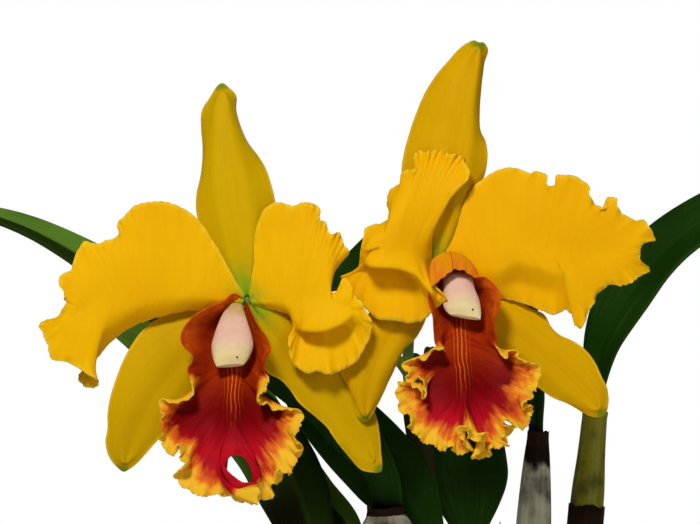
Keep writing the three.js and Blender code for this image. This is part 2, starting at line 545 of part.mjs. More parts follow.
/** A strap leaf: folded along its midrib, with waved edges and a notched tip. */
function leaf({ line, width, foot, face, fold }) {
  const along = 14;
  const across = 4;
  const knots = chordKnots(line);
  const place = (u) => new THREE.Vector3(...spline(knots, line, u * knots.at(-1)));
  const faces = face.map((direction) => new THREE.Vector3(...direction).normalize());
  const points = [];
  for (let i = 0; i <= along; i++) {
    const u = i / along;
    const tangent = place(Math.min(u + 0.01, 1)).sub(place(Math.max(u - 0.01, 0))).normalize();
    const upper = faces[0].clone().lerp(faces[1], u);
    const side = new THREE.Vector3().crossVectors(tangent, upper).normalize();
    const lift = new THREE.Vector3().crossVectors(side, tangent).normalize();
    const half = width / 2 * leafWidth(u, foot);
    for (let j = 0; j <= across; j++) {
      const v = 2 * j / across - 1;
      const rise = half * fold * Math.abs(v) * (1 - 0.35 * u)
        + 0.9 * v * v * Math.sin(11 * u + 2 * v) * Math.sin(Math.PI * u);
      const notch = i === along ? 4 * Math.abs(v) : 0;
      points.push(place(u).addScaledVector(side, v * half).addScaledVector(lift, rise)
        .addScaledVector(tangent, notch));
    }
  }
  return sheet(points, gridFaces(along, across, (i, j) => i * (across + 1) + j), LEAF_THICK);
}

/** A leaf's width along its length, as a share of the greatest: a stalk-like foot, then a strap. */
function leafWidth(u, foot) {
  const spread = mix(foot, 1, THREE.MathUtils.smoothstep(u, 0, 0.42));
  const tip = Math.sqrt(Math.max(1 - Math.max((u - 0.5) / 0.53, 0) ** 2, 0));
  return spread * Math.max(tip, 0.16);
}

// ---- Solids of revolution and tubes -------------------------------------

/** A closed turned solid between two points; the profile lists [share of the length, radius]. */
function turned(from, to, profile, sides) {
  const start = new THREE.Vector3(...from);
  const axis = new THREE.Vector3(...to).sub(start);
  const length = axis.length();
  const outline = profile.map(([share, radius]) => new THREE.Vector2(radius, share * length));
  const geometry = new THREE.LatheGeometry(outline, sides);
  const turn = new THREE.Quaternion().setFromUnitVectors(
    new THREE.Vector3(0, 1, 0), axis.normalize(),
  );
  return geometry.applyQuaternion(turn).translate(...start.toArray());
}

/** A tube of even radius through a list of points. */
function tube(points, radius, sides, steps) {
  const section = new THREE.Shape();
  for (let k = 0; k < sides; k++) {
    const turn = 2 * Math.PI * k / sides;
    const corner = [radius * Math.cos(turn), radius * Math.sin(turn)];
    if (k === 0) section.moveTo(...corner);
    else section.lineTo(...corner);
  }
  section.closePath();
  const extrudePath = new THREE.CatmullRomCurve3(points.map((point) => new THREE.Vector3(...point)));
  return new THREE.ExtrudeGeometry(section, { steps, bevelEnabled: false, extrudePath });
}

/** One solid of several geometries. */
function fused(geometries) {
  return geometries.map(toSolid).reduce((whole, next) => whole.add(next));
}

// ---- Pot and bark -------------------------------------------------------

/** The clay pot: a tapered wall, a rim band, a flat floor and a ring of drain holes. */
function pot() {
  const wallTop = POT_TOP_RADIUS - POT_RIM_STEP;
  const band = POT_HEIGHT - POT_RIM_HEIGHT;
  const outline = [
    [0, 0], [POT_FOOT_RADIUS - 2, 0], [POT_FOOT_RADIUS, 2], [wallTop - 2, band - 1],
    [POT_TOP_RADIUS - 1, band], [POT_TOP_RADIUS, POT_HEIGHT - 2],
    [POT_TOP_RADIUS - 2, POT_HEIGHT], [wallTop - POT_WALL + 2, POT_HEIGHT],
    [wallTop - POT_WALL, POT_HEIGHT - 2],
    [POT_FOOT_RADIUS - POT_WALL, POT_WALL + 2], [POT_FOOT_RADIUS - POT_WALL - 2, POT_WALL],
    [0, POT_WALL],
  ];
  let body = toSolid(turned([0, 0, 0], [0, 0, 1], outline.map(([r, z]) => [z, r]), POT_SIDES));
  for (let k = 0; k < DRAIN_COUNT; k++) {
    const turn = 2 * Math.PI * k / DRAIN_COUNT;
    const centre = [DRAIN_CIRCLE * Math.cos(turn), DRAIN_CIRCLE * Math.sin(turn)];
    const bore = [[0, 0], [0, DRAIN_RADIUS], [1, DRAIN_RADIUS], [1, 0]];
    body = body.subtract(toSolid(turned([...centre, -1], [...centre, POT_WALL + 1], bore, 12)));
  }
  return body;
}

/** Bark that fills the pot, with loose chips standing out of its top. */
function bark(plant) {
  const slope = (POT_TOP_RADIUS - POT_RIM_STEP - POT_FOOT_RADIUS) / POT_HEIGHT;
  const inner = (z) => POT_FOOT_RADIUS - POT_WALL - SEAT_GAP - 1 + slope * (z - POT_WALL);
  const floor = POT_WALL + SEAT_GAP;
  const outline = [
    [floor, 0], [floor, inner(floor) - 2], [floor + 3, inner(floor)],
    [BARK_LEVEL, inner(BARK_LEVEL)], [BARK_LEVEL, 0],
  ];
  let heap = toSolid(turned([0, 0, 0], [0, 0, 1], outline, 24));
  const random = randomFrom(7);
  for (let k = 0; k < CHIP_COUNT; k++) {
    const reach = (inner(BARK_LEVEL) - CHIP_SIZE[0] / 2 - 1) * Math.sqrt((k + 0.5) / CHIP_COUNT);
    const turn = 2.4 * k + random();
    const chip = new THREE.BoxGeometry(...CHIP_SIZE.map((size) => size * (0.7 + 0.45 * random())));
    chip.rotateX(0.9 * (random() - 0.5)).rotateY(0.9 * (random() - 0.5)).rotateZ(6.3 * random());
    chip.translate(reach * Math.cos(turn), reach * Math.sin(turn), BARK_LEVEL + 2 * random());
    heap = heap.add(toSolid(chip));
  }
  return mainBody(heap.subtract(plant));
}

// ---- Rhizome, pseudobulbs and shoot -------------------------------------

/** The creeping rhizome and its roots, made fatter by a clearance where others are cut by it. */
function rhizome(clearance = 0) {
  const pieces = [tube(RHIZOME, RHIZOME_RADIUS + clearance, 6, 18)];
  for (const root of ROOTS) pieces.push(tube(root, ROOT_RADIUS + clearance, 5, 2 * root.length));
  return fused(pieces);
}

/** A pseudobulb: a club with a narrow neck under its leaf. */
function pseudobulb({ foot, top, radius, neck, shoulder }) {
  const profile = [
    [0, 0], [0, 0.5 * radius], [0.06, 0.72 * radius], [0.3, 0.96 * radius],
    [0.6 * shoulder, radius], [shoulder, mix(neck, radius, 0.8)],
    [mix(shoulder, 1, 0.5), mix(neck, radius, 0.4)], [1, neck], [1, 0],
  ];
  return turned(foot, top, profile, 10);
}

/** The youngest growth: a slender folded spear that hasn't opened. */
function shoot() {
  const profile = [
    [0, 0], [0, 4.2], [0.08, 5.4], [0.25, 5.2], [0.45, 4.4], [0.62, 5], [0.8, 3.6], [0.94, 1.5], [1, 0],
  ];
  return turned(SHOOT.foot, SHOOT.top, profile, 8);
}

// ---- Flower stem --------------------------------------------------------

/** Peduncle, two pedicels with their ovaries, and a receptacle behind each bloom. */
function flowerStem(clearance = 0) {
  const pieces = [tube(PEDUNCLE, STEM_RADIUS + clearance, 6, 8)];
  for (const { centre, pedicel } of [LEFT_BLOOM, RIGHT_BLOOM]) {
    const seat = [centre[0], centre[1] + RECEPTACLE_BACK, centre[2]];
    pieces.push(tube([...pedicel, seat], STEM_RADIUS - 0.4 + clearance, 6, 8));
    const knob = new THREE.SphereGeometry(RECEPTACLE_RADIUS + clearance, 10, 6);
    pieces.push(knob.translate(...seat));
  }
  return fused(pieces);
}

/** The dry sheath round the foot of the peduncle: a thin sleeve, wider at its open mouth. */
function flowerSheath() {
  const wall = 0.7;
  const bore = STEM_RADIUS + SEAT_GAP + 0.3;
  const outline = [
    [0, bore], [0, bore + wall], [0.4, bore + 1.2], [0.85, bore + 1.6], [1, bore + 1.2],
    [1, bore + 0.5], [0.85, bore + 0.9], [0.4, bore + 0.5], [0, bore],
  ];
  return turned(SHEATH_BASE, SHEATH_TOP, outline, 10);
}

// ---- Blooms -------------------------------------------------------------

/** A stretch of the column, from one share of its length to another; it is a flattened club. */
function columnStretch(bloom, begin, end, clearance = 0) {
  const { line, width, sizes } = bloom.column;
  const knots = chordKnots(line);
  const shares = sizes.map((entry) => entry[0]);
  const ahead = inBloom([0, 0, 0], line.at(-1)).sub(inBloom([0, 0, 0], line[0])).normalize();
  const across = new THREE.Vector3(1, 0, 0).addScaledVector(ahead, -ahead.x).normalize();
  const outer = new THREE.Vector3().crossVectors(across, ahead).normalize();
  const steps = Math.ceil(6 * (end - begin));
  const geometry = new THREE.CylinderGeometry(1, 1, 1, 12, steps);
  const position = geometry.getAttribute('position');
  const point = new THREE.Vector3();
  for (let k = 0; k < position.count; k++) {
    point.fromBufferAttribute(position, k);
    const share = mix(begin, end, point.y + 0.5);
    const [, wide, thick] = spline(shares, sizes, share);
    const sideways = point.x * (wide * width / 2 + clearance);
    const outwards = point.z * (thick * width / 3.4 + clearance);
    point.copy(inBloom(bloom.centre, spline(knots, line, share * knots.at(-1))))
      .addScaledVector(across, sideways).addScaledVector(outer, outwards);
    position.setXYZ(k, point.x, point.y, point.z);
  }
  return geometry;
}

/** Adds a bloom's eight pieces, each cut clear of those in front of it. */
function addBloom(side, bloom, stem) {
  const sepal = { around: 18, across: 3, thickness: SEPAL_THICK, cup: 1, wave: 0.4, waves: 3 };
  const petal = { around: 40, across: 5, thickness: PETAL_THICK, cup: 0.5, wave: 1.2, waves: 11 };
  const lip = { around: 50, across: 5, thickness: LIP_THICK, cup: -2, wave: 1.2, waves: 15 };
  const grow = (settings) => ({ ...settings, thickness: settings.thickness + 2 * SEAT_GAP });
  const bladeOf = (shape, settings) => toSolid(blade(bloom.centre, shape, settings));
  const column = toSolid(columnStretch(bloom, 0, ANTHER_SHARE - 0.015)).subtract(stem);
  const cap = columnStretch(bloom, ANTHER_SHARE, 1);
  add(`${side}_column`, fromSolid(mainBody(column)), 0xdcb4a6, 0.45);
  add(`${side}_anther_cap`, cap, 0xe4dca0, 0.5);
  let taken = stem.add(toSolid(columnStretch(bloom, 0, 1, SEAT_GAP)));
  const pieces = [
    ['lip', bloom.lip, lip, 0x9c1a12],
    ['left_petal', bloom.leftPetal, petal, 0xf0b000],
    ['right_petal', bloom.rightPetal, petal, 0xf0b000],
    ['left_sepal', bloom.leftSepal, sepal, 0xc89c00],
    ['right_sepal', bloom.rightSepal, sepal, 0xc89c00],
    ['dorsal_sepal', bloom.dorsal, sepal, 0xc89c00],
  ];
  for (const [name, shape, settings, color] of pieces) {
    const whole = bladeOf(shape, settings);
    add(`${side}_${name}`, fromSolid(mainBody(whole.subtract(taken))), color);
    taken = taken.add(whole).add(bladeOf(shape, grow(settings)));
  }
}

// ---- Scene --------------------------------------------------------------

const part = new THREE.Group();

/** Adds one named piece to the part. */
function add(name, geometry, color, roughness = 0.6) {
  const material = new THREE.MeshStandardMaterial({ color, roughness, metalness: 0 });
  const mesh = new THREE.Mesh(geometry, material);
  mesh.name = name;
  part.add(mesh);
}

const rootSpace = rhizome(SEAT_GAP);
add('pot', fromSolid(pot()), 0xb5623c, 0.9);
add('bark', fromSolid(bark(rootSpace.add(toSolid(shoot())))), 0x5a3a26, 0.95);
add('rhizome', fromSolid(rhizome()), 0x9aa07a, 0.8);
add('young_shoot', shoot(), 0x6f9a3c, 0.5);
BULBS.forEach((bulb, k) => {
  const solid = mainBody(toSolid(pseudobulb(bulb)).subtract(rootSpace));
  add(`pseudobulb_${k + 1}`, fromSolid(solid), 0x8d9352, 0.7);
});
LEAVES.forEach((shape, k) => add(`leaf_${k + 1}`, leaf(shape), 0x1f4a14, 0.4));
add('flower_stem', fromSolid(flowerStem()), 0x6d8f3a, 0.6);
add('flower_sheath', flowerSheath(), 0x9c9478, 0.85);
const stemSpace = flowerStem(SEAT_GAP);
addBloom('left', LEFT_BLOOM, stemSpace);
addBloom('right', RIGHT_BLOOM, stemSpace);

export default part;
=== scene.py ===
"""A cattleya orchid with two yellow blooms in a clay pot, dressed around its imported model.

Metres, +Z up. The origin is the centre of the pot's underside, and the blooms face -Y. The outlines
of the blooms and the lines of the leaves, stems and roots are in millimetres, as the model's source
has them, and MM scales them where they are read.
"""
import math
import random

import bmesh
import bpy
import numpy as np
from mathutils import Euler, Matrix, Vector


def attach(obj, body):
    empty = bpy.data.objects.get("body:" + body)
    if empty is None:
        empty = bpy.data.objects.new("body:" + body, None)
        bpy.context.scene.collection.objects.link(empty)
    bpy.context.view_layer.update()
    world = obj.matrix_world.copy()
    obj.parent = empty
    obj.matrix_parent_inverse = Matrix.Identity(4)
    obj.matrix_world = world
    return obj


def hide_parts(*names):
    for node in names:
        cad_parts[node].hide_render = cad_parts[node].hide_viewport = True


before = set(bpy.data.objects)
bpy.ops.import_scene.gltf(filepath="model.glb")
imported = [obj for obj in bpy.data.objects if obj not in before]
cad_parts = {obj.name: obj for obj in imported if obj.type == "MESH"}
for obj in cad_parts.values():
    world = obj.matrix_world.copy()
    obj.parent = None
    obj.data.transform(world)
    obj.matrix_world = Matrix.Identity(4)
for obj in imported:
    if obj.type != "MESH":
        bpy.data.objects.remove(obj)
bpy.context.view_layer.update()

bl_info = {
    "name": "Potted cattleya orchid",
    "version": (1, 0, 0),
    "blender": (4, 5, 0),
    "location": "3D View > Sidebar > Orchid",
    "description": "Builds the blooms, leaves, pseudobulbs and pot of a cattleya orchid",
    "category": "Object",
}

MM = 0.001
TAU = 2 * math.pi
UNWITHERED = (2, 3)              # shares past the end of any skin
SIDES = ("left", "right")        # the two blooms, as the camera sees them

# ---- Settings ------------------------------------------------------------


def linear(channel):
    """A colour channel from 0 to 255, as the eye sees it, in scene linear light."""
    value = channel / 255
    return value / 12.92 if value <= 0.04045 else ((value + 0.055) / 1.055) ** 2.4


def colour(name, description, red, green, blue):
    """A colour setting."""
    return bpy.props.FloatVectorProperty(
        name=name, description=description, subtype="COLOR", size=3, min=0, max=1,
        default=(linear(red), linear(green), linear(blue)),
    )


def length(name, description, default):
    """A length setting, in metres."""
    return bpy.props.FloatProperty(
        name=name, description=description, default=default, min=0, unit="LENGTH", precision=5)


def share(name, description, default):
    """A setting from 0 to 1."""
    return bpy.props.FloatProperty(
        name=name, description=description, default=default, min=0, max=1, subtype="FACTOR")


def power(name, description, default):
    """The power of a lamp."""
    return bpy.props.FloatProperty(
        name=name, description=description, default=default, min=0, unit="POWER")


class FlowerSettings(bpy.types.PropertyGroup):
    """Thicknesses and colours of the blooms."""

    petal_thickness: length("Petal thickness", "In the middle of a petal", 0.0008)
    sepal_thickness: length("Sepal thickness", "In the middle of a sepal", 0.001)
    lip_thickness: length("Lip thickness", "In the middle of the lip", 0.0008)
    left_petal: colour("Left bloom's petals", "Golden yellow", 238, 181, 3)
    right_petal: colour("Right bloom's petals", "Golden yellow, a little warmer", 240, 177, 3)
    # Also the colour of the broad patches of painted shade on the petals.
    petal_shade: colour("Petal streaks", "Deeper gold along the veins", 226, 160, 2)
    petal_rim: colour("Petal rim", "Paler yellow of the thin margin", 240, 192, 40)
    left_sepal: colour("Left bloom's sepals", "Olive yellow", 204, 164, 1)
    right_sepal: colour("Right bloom's sepals", "Olive yellow, a little warmer", 214, 163, 0)
    # Also the colour of the broad patches of painted shade on the sepals.
    sepal_shade: colour("Sepal streaks", "Darker olive along the veins", 190, 146, 1)
    green: colour("Green", "Green of the claws and of the sepals' tips", 112, 160, 28)
    lip_hood: colour("Lip hood", "Orange of the lobes beside the column", 208, 92, 14)
    lip_throat: colour("Lip throat", "Red brown below the column", 160, 46, 6)
    lip_heart: colour("Lip heart", "Dark crimson of the middle lobe", 116, 6, 8)
    lip_blush: colour("Lip blush", "Bright crimson towards the lip's front", 192, 15, 34)
    lip_flame: colour("Lip flame", "Orange between crimson and rim", 222, 108, 30)
    lip_rim: colour("Lip rim", "Yellow of the ruffled margin", 236, 182, 42)
    lip_back: colour("Lip's back", "Golden orange of the hood's outer side", 216, 140, 8)
    column: colour("Column", "Pinkish white of the column", 224, 178, 160)
    # Darker greenish tan: partly the column's own green, partly painted shade where the hood shades it.
    column_foot: colour("Column foot", "Green of the column's narrow end", 178, 146, 62)
    anther: colour("Anther cap", "Cream of the anther cap", 228, 210, 146)


class PlantSettings(bpy.types.PropertyGroup):
    """Thicknesses and colours of the leaves, pseudobulbs, stem and roots."""

    leaf_thickness: length("Leaf thickness", "At a leaf's midrib", 0.0022)
    leaf: colour("Leaf", "Green of a mature leaf", 20, 48, 3)
    # Also the dark brown over half of the seventh leaf towards its foot, which is partly painted shade.
    leaf_foot: colour("Leaf foot", "Brown of a leaf's withered foot", 26, 14, 10)
    # Its lighter green is partly the leaves' own and partly painted light, where they face the lamp.
    young_leaf: colour("Young leaf", "Green of the two leaves low on the left", 98, 138, 46)
    leaf_vein: colour("Leaf vein", "Lighter green of the midrib", 40, 74, 18)
    bulb: colour("Pseudobulb", "Olive green of a pseudobulb's skin", 150, 144, 34)
    bulb_shade: colour("Pseudobulb's shade", "Darker green streaks in that skin", 58, 70, 12)
    old_bulb: colour("Old skin", "Brown of the oldest pseudobulb and of most collars", 40, 24, 14)
    paper: colour("Papery skin", "Silver grey of the dry skin", 206, 204, 178)
    paper_stain: colour("Papery skin's stain", "Brown blotches in the dry skin", 58, 42, 28)
    stem: colour("Stem", "Green of the flower stem", 106, 134, 58)
    # Its dark greenish brown is partly painted shade, so that where it shows between the leaves it reads as
    # the shade there.
    sheath: colour("Sheath", "Dry sheath at the stem's foot", 44, 52, 22)
    shoot: colour("Shoot", "Fresh green of the youngest growth", 96, 130, 44)
    root: colour("Root", "Silvery skin of the roots", 176, 176, 156)


class PotSettings(bpy.types.PropertyGroup):
    """Colours of the pot and the bark."""

    clay: colour("Clay", "Terracotta of the pot", 186, 104, 66)
    bloom: colour("Salt bloom", "Pale salts that dry out on the clay", 216, 184, 160)
    bark: colour("Bark", "Reddish brown of the bark chips", 112, 70, 44)
    # Also the darkest tone of the heap under the chips, which is painted shade in the gaps between them.
    bark_dark: colour("Dark bark", "Damp side of the chips", 44, 28, 20)


class StageSettings(bpy.types.PropertyGroup):
    """Floor, lights and camera."""

    floor_radius: length("Floor radius", "Radius of the round floor", 2.6)
    floor: colour("Floor", "Pale floor", 226, 225, 222)
    key_power: power("Key light", "Power of the large lamp above the camera", 20.8)
    side_power: power("Side light", "Power of the weak lamp on the right", 3)
    back_power: power("Back light", "Power of the weak lamp behind the plant", 6)
    fill: share("Fill", "Brightness of the surroundings as a light", 0.1)
    camera_distance: length("Camera distance", "From the camera to the blooms' centres", 3.0)
    view_width: length("View width", "What the camera sees across, at the blooms", 0.266)


# ---- Outlines ------------------------------------------------------------

# Each bloom has its centre, and its blades have an edge, the place of the tip in it, and a midrib. Their
# points are (across, up, forward) from the centre, and an edge point may name the two points that its
# cross-line passes on the way from the midrib. Near the places in calm, (across, up, reach), the margin
# isn't worked. Near those in pleated, (across, up, reach, depth), it has a fan of fine pleats, and near
# those in gilded, (across, up, reach, amount), the lip's yellow reaches further in, or less far. A column
# has a line, a width, a slant of its broad end, and its sizes along the line: share, breadth, thickness.
LEFT_BLOOM = dict(
  centre=[-73.1, -70, 315.6],
  dorsal_sepal=dict(
    edge=[
      [-2.4, 1.5, -1], [-6, 8, -1], [-15, 22, -2], [-19, 32, -3], [-19.3, 40, -4], [-17.5, 48, -5],
      [-16.7, 56, -7], [-17, 64, -9], [-17, 71, -10], [-14.5, 76, -10], [-10, 82.4, -9],
      [-6.5, 80.3, -9], [-4.3, 77.5, -10], [-4.1, 72, -11], [-2.8, 66, -10], [0, 60, -8],
      [5.5, 52, -6], [8.5, 45, -4], [10.5, 37, -3.5], [11, 28, -3], [8, 16, -2], [2.4, 2, -1],
    ],
    tip=10,
    rib=[[0, 1.5, -0.5], [-3, 20, 1.5], [-6, 40, 1], [-8.5, 60, -1], [-9.8, 80, -6]],
  ),
  left_petal=dict(
    edge=[
      [-1.2, 2.4, 1], [-5, 8.5, 2], [-11.5, 20, 2], [-20, 32, 2.5], [-30, 37, 3], [-38, 37, 3],
      [-43, 35.5, 2], [-46.5, 32, 3], [-49.3, 29.3, 2], [-48.3, 25, 3], [-53, 22.5, 2],
      [-57, 21.3, 3], [-61.5, 22, 2], [-64.5, 18.5, 3], [-67, 11.5, 3], [-70.5, 9.3, 2],
      [-71.6, 6.5, 3], [-69.8, 2.5, 4], [-68, -2.8, 1], [-71, -5.5, 0], [-76, -7.5, -1],
      [-79, -10, 0], [-76.5, -14, 1], [-75, -19, 3], [-74.3, -22.3, 4], [-69, -23.7, 4],
      [-65, -25.2, 5], [-58.5, -29.8, 6], [-56.6, -31.8, 3], [-58.5, -33.4, 0],
      [-62, -32.6, -4], [-63.5, -29, -8], [-60, -24, -10], [-54, -17.5, -10],
      [-48, -13, -8], [-40, -8, -5], [-30, -5.2, -2.5], [-15, -3.5, -0.5], [-2, -2, 0.5],
    ],
    pleated=[[-46, 32, 9, 0.4], [-58, 22, 7, 0.4]],
    tip=21,
    rib=[[-1, 0.3, 0.8], [-15, 4, 4], [-30, 6, 4], [-45, 4, 4], [-58, -1, 4], [-66, -6, 4]],
  ),
  right_petal=dict(
    edge=[
      [0.8, 2.6, 1], [2.6, 14, 2], [3, 25, 2], [6.3, 34, 3], [11, 37, 3], [15, 36.2, 2],
      [18, 35.8, 3], [20.5, 37, 2], [24.5, 36.9, 3], [27.6, 35, 2], [26.8, 31, 4],
      [29.8, 29.5, 2], [31.3, 25.4, 4], [35, 25.3, 2], [36.6, 21.5, 3], [39, 17.2, 2],
      [34, 12.5, -3], [28.2, 7, -6], [27, 4.2, -5], [30.5, 1.9, -1], [33.8, 2.3, 2],
      [34.9, 5.2, 4], [36.4, 8.3, 5], [38.6, 7, 6], [41, 1.5, 6], [44, -2.5, 6], [47.2, -8, 6],
      [46.8, -14, 5, [40, -5, 8], [43, -9, 6]],
      [44.8, -18, 4, [38.5, -7, 9], [40, -10, 3]],
      [42, -23, 3, [36, -9, 10], [37, -9, 2]],
      [35, -27, 3, [32, -11, 10], [32, -9, 1]],
      [31, -28.3, 4, [29, -12, 10], [29, -9, 1]],
      [26.5, -27.2, 3, [26, -12.2, 9], [26, -9, 0]],
      [23, -27.9, 4, [23, -12, 8], [23.5, -10, 0]],
      [19, -25.5, 3, [21, -11.6, 7], [21, -11, 0]],
      [16.5, -21.5, 4, [20.5, -11, 6], [19.5, -11.5, 1]],
      [15.6, -17, 4, [20, -10, 5], [18.5, -11.5, 2]],
      [17, -13.3, 2], [21, -9.5, -1], [20, -6, -3], [14, -4.6, -3], [7, -3.5, -1], [2, -2, 0.5],
    ],
    calm=[[30, 6, 8], [35.5, 4, 5]],
    pleated=[[26, 33, 9, 0.4], [35, 24, 8, 0.4]],
    tip=26,
    rib=[[1, 0.3, 0.8], [12, 1.5, 4], [22, 0.5, 5], [32, -1, 7], [40, -3, 7]],
  ),
  left_sepal=dict(
    edge=[
      [-2.4, -1, -1.2], [-15, -3, -4], [-28, -5, -7], [-38, -10, -7], [-45, -19, -6],
      [-48.7, -27, -6], [-51.5, -35, -6], [-53, -42, -6], [-53.2, -49, -6], [-54, -54, -6],
      [-52.5, -60, -7], [-47.5, -65.2, -8], [-44.5, -64, -7], [-41, -61, -6],
      [-36, -55.5, -5], [-32, -51, -5], [-26, -44, -5], [-19, -34, -5], [-12, -23, -4],
      [-6, -12, -3], [-0.6, -2.6, -1.2],
    ],
    tip=11,
    rib=[[-1.4, -1.6, -1], [-14, -14, -2], [-28, -28, -3], [-40, -45, -4], [-46.5, -62, -6]],
  ),
  right_sepal=dict(
    edge=[
      [2.4, -1, -1.2], [9, -2.6, -3], [16, -4.2, -4], [24, -9.5, -6], [32, -18, -8], [39, -28, -9],
      [45, -37, -10], [48.7, -44, -10], [50, -51, -9], [50.6, -58, -8], [51, -65.3, -7],
      [46, -65.5, -7], [43, -64.5, -7], [38, -59, -7], [33, -52.5, -6], [30, -48, -6],
      [25, -43.5, -6], [19.5, -39, -5], [16, -33.5, -5], [12.5, -30.3, -4], [7, -27, -4],
      [4.5, -18, -3], [0.6, -2.6, -1.2],
    ],
    tip=10,
    rib=[[1.4, -1.6, -1], [11, -15, -2], [23, -29, -5], [36, -45, -7], [48, -61, -7]],
  ),
  lip=dict(
    edge=[
      [-1.4, 0.6, 1.5],
      [-5, 2.4, 4, [-2.8, -0.5, 0.8], [-4.2, 1.2, 2.4]],
      [-9, -0.5, 8, [-4.5, -2.5, 0.2], [-7.5, -1.5, 3.4]],
      [-15, -3, 10, [-7.5, -6, 0], [-12.5, -5, 4.6]],
      [-20, -6, 11], [-24, -11, 11],
      [-25, -15, 12], [-23.5, -18, 13], [-20.5, -21, 14], [-20.5, -23.5, 16],
      [-22, -26.5, 17], [-20.5, -31.5, 21], [-23, -37, 24], [-27, -38.8, 25], [-31.5, -39.5, 24],
      [-31.5, -44, 26], [-33, -50, 26], [-32, -54.5, 25], [-29.8, -57, 27], [-26, -55, 30],
      [-24.5, -58, 30], [-25, -61, 28], [-22.5, -62.8, 31], [-26, -65, 28], [-24, -69.5, 27],
      [-19, -73, 27], [-15, -74.4, 27], [-10, -72.5, 28],
      [-3.5, -75.8, 27.5, [-10.2, -57.5, 33], [-9.5, -67.5, 31]],
      [3.6, -75.5, 28.5, [-10, -58.5, 33], [-6, -71, 31.3]],
      [4.6, -69, 32.5, [-9.8, -59.5, 33.2], [-5, -70, 32]],
      [-1.5, -68.2, 32.3, [-9.6, -59.5, 33.5], [-8, -66.8, 32.6]],
      [-7.8, -62.5, 33, [-8.4, -56, 33.5], [-8.9, -60, 33.4]],
      [-5, -58.3, 34.3, [-5, -53.8, 33], [-5, -56.5, 33.8]],
      [-0.5, -59.2, 34, [-2.5, -54, 33.2], [-1.2, -57, 33.8]],
      [2.3, -65.5, 32, [1, -56.5, 34.5], [3.2, -61.5, 33.5]],
      [1.6, -75.8, 26, [2.2, -57.5, 34.5], [5.5, -67, 31]],
      [5, -76.2, 26, [3, -58.5, 34], [6, -67.5, 30]],
      [11, -73, 26], [10, -70.3, 28], [12.5, -67.5, 27], [11.5, -64, 30], [16, -66.2, 27],
      [19.3, -59.5, 27], [18.3, -57, 29], [21, -56, 26], [19.8, -50, 28], [20.7, -46.5, 25],
      [20.3, -43.8, 25], [17.5, -42, 25], [13, -41, 24], [9, -38.5, 24], [5, -39.6, 28],
      [3.2, -38, 30], [6, -35.5, 28], [8.3, -32, 22], [6.5, -26, 18], [7.7, -21.5, 14],
      [9.2, -18.5, 12], [7.5, -14, 10], [4.5, -10, 8], [2.5, -6, 6], [0.4, -1.4, 3], [0, -0.6, 1.5],
    ],
    calm=[[-1.5, -63.5, 9]],
    gilded=[[17, -53, 9, 0.2], [1, -72.5, 4.2, 1.5], [-29, -47.5, 8, -0.17], [10, -65, 4.5, -0.2]],
    tip=33,
    rib=[
      [-1, -2, 0], [-4, -10, -1], [-5, -19, 2], [-5, -27, 9], [-5, -35, 18], [-5, -43, 26],
      [-5, -51, 32],
    ],
  ),
  column=dict(
    line=[[-4.6, -1.7, 1.6], [-5.1, -8.8, 6.5], [-5.2, -14.5, 9.6], [-6.2, -24.8, 15]],
    width=15.8, slant=-0.14,
    sizes=[[0, 0.36, 0.25], [0.33, 0.72, 0.6], [0.56, 0.94, 0.95], [0.7, 1, 1], [0.89, 0.85, 0.75],
      [1, 0.66, 0.25]],
  ),
)

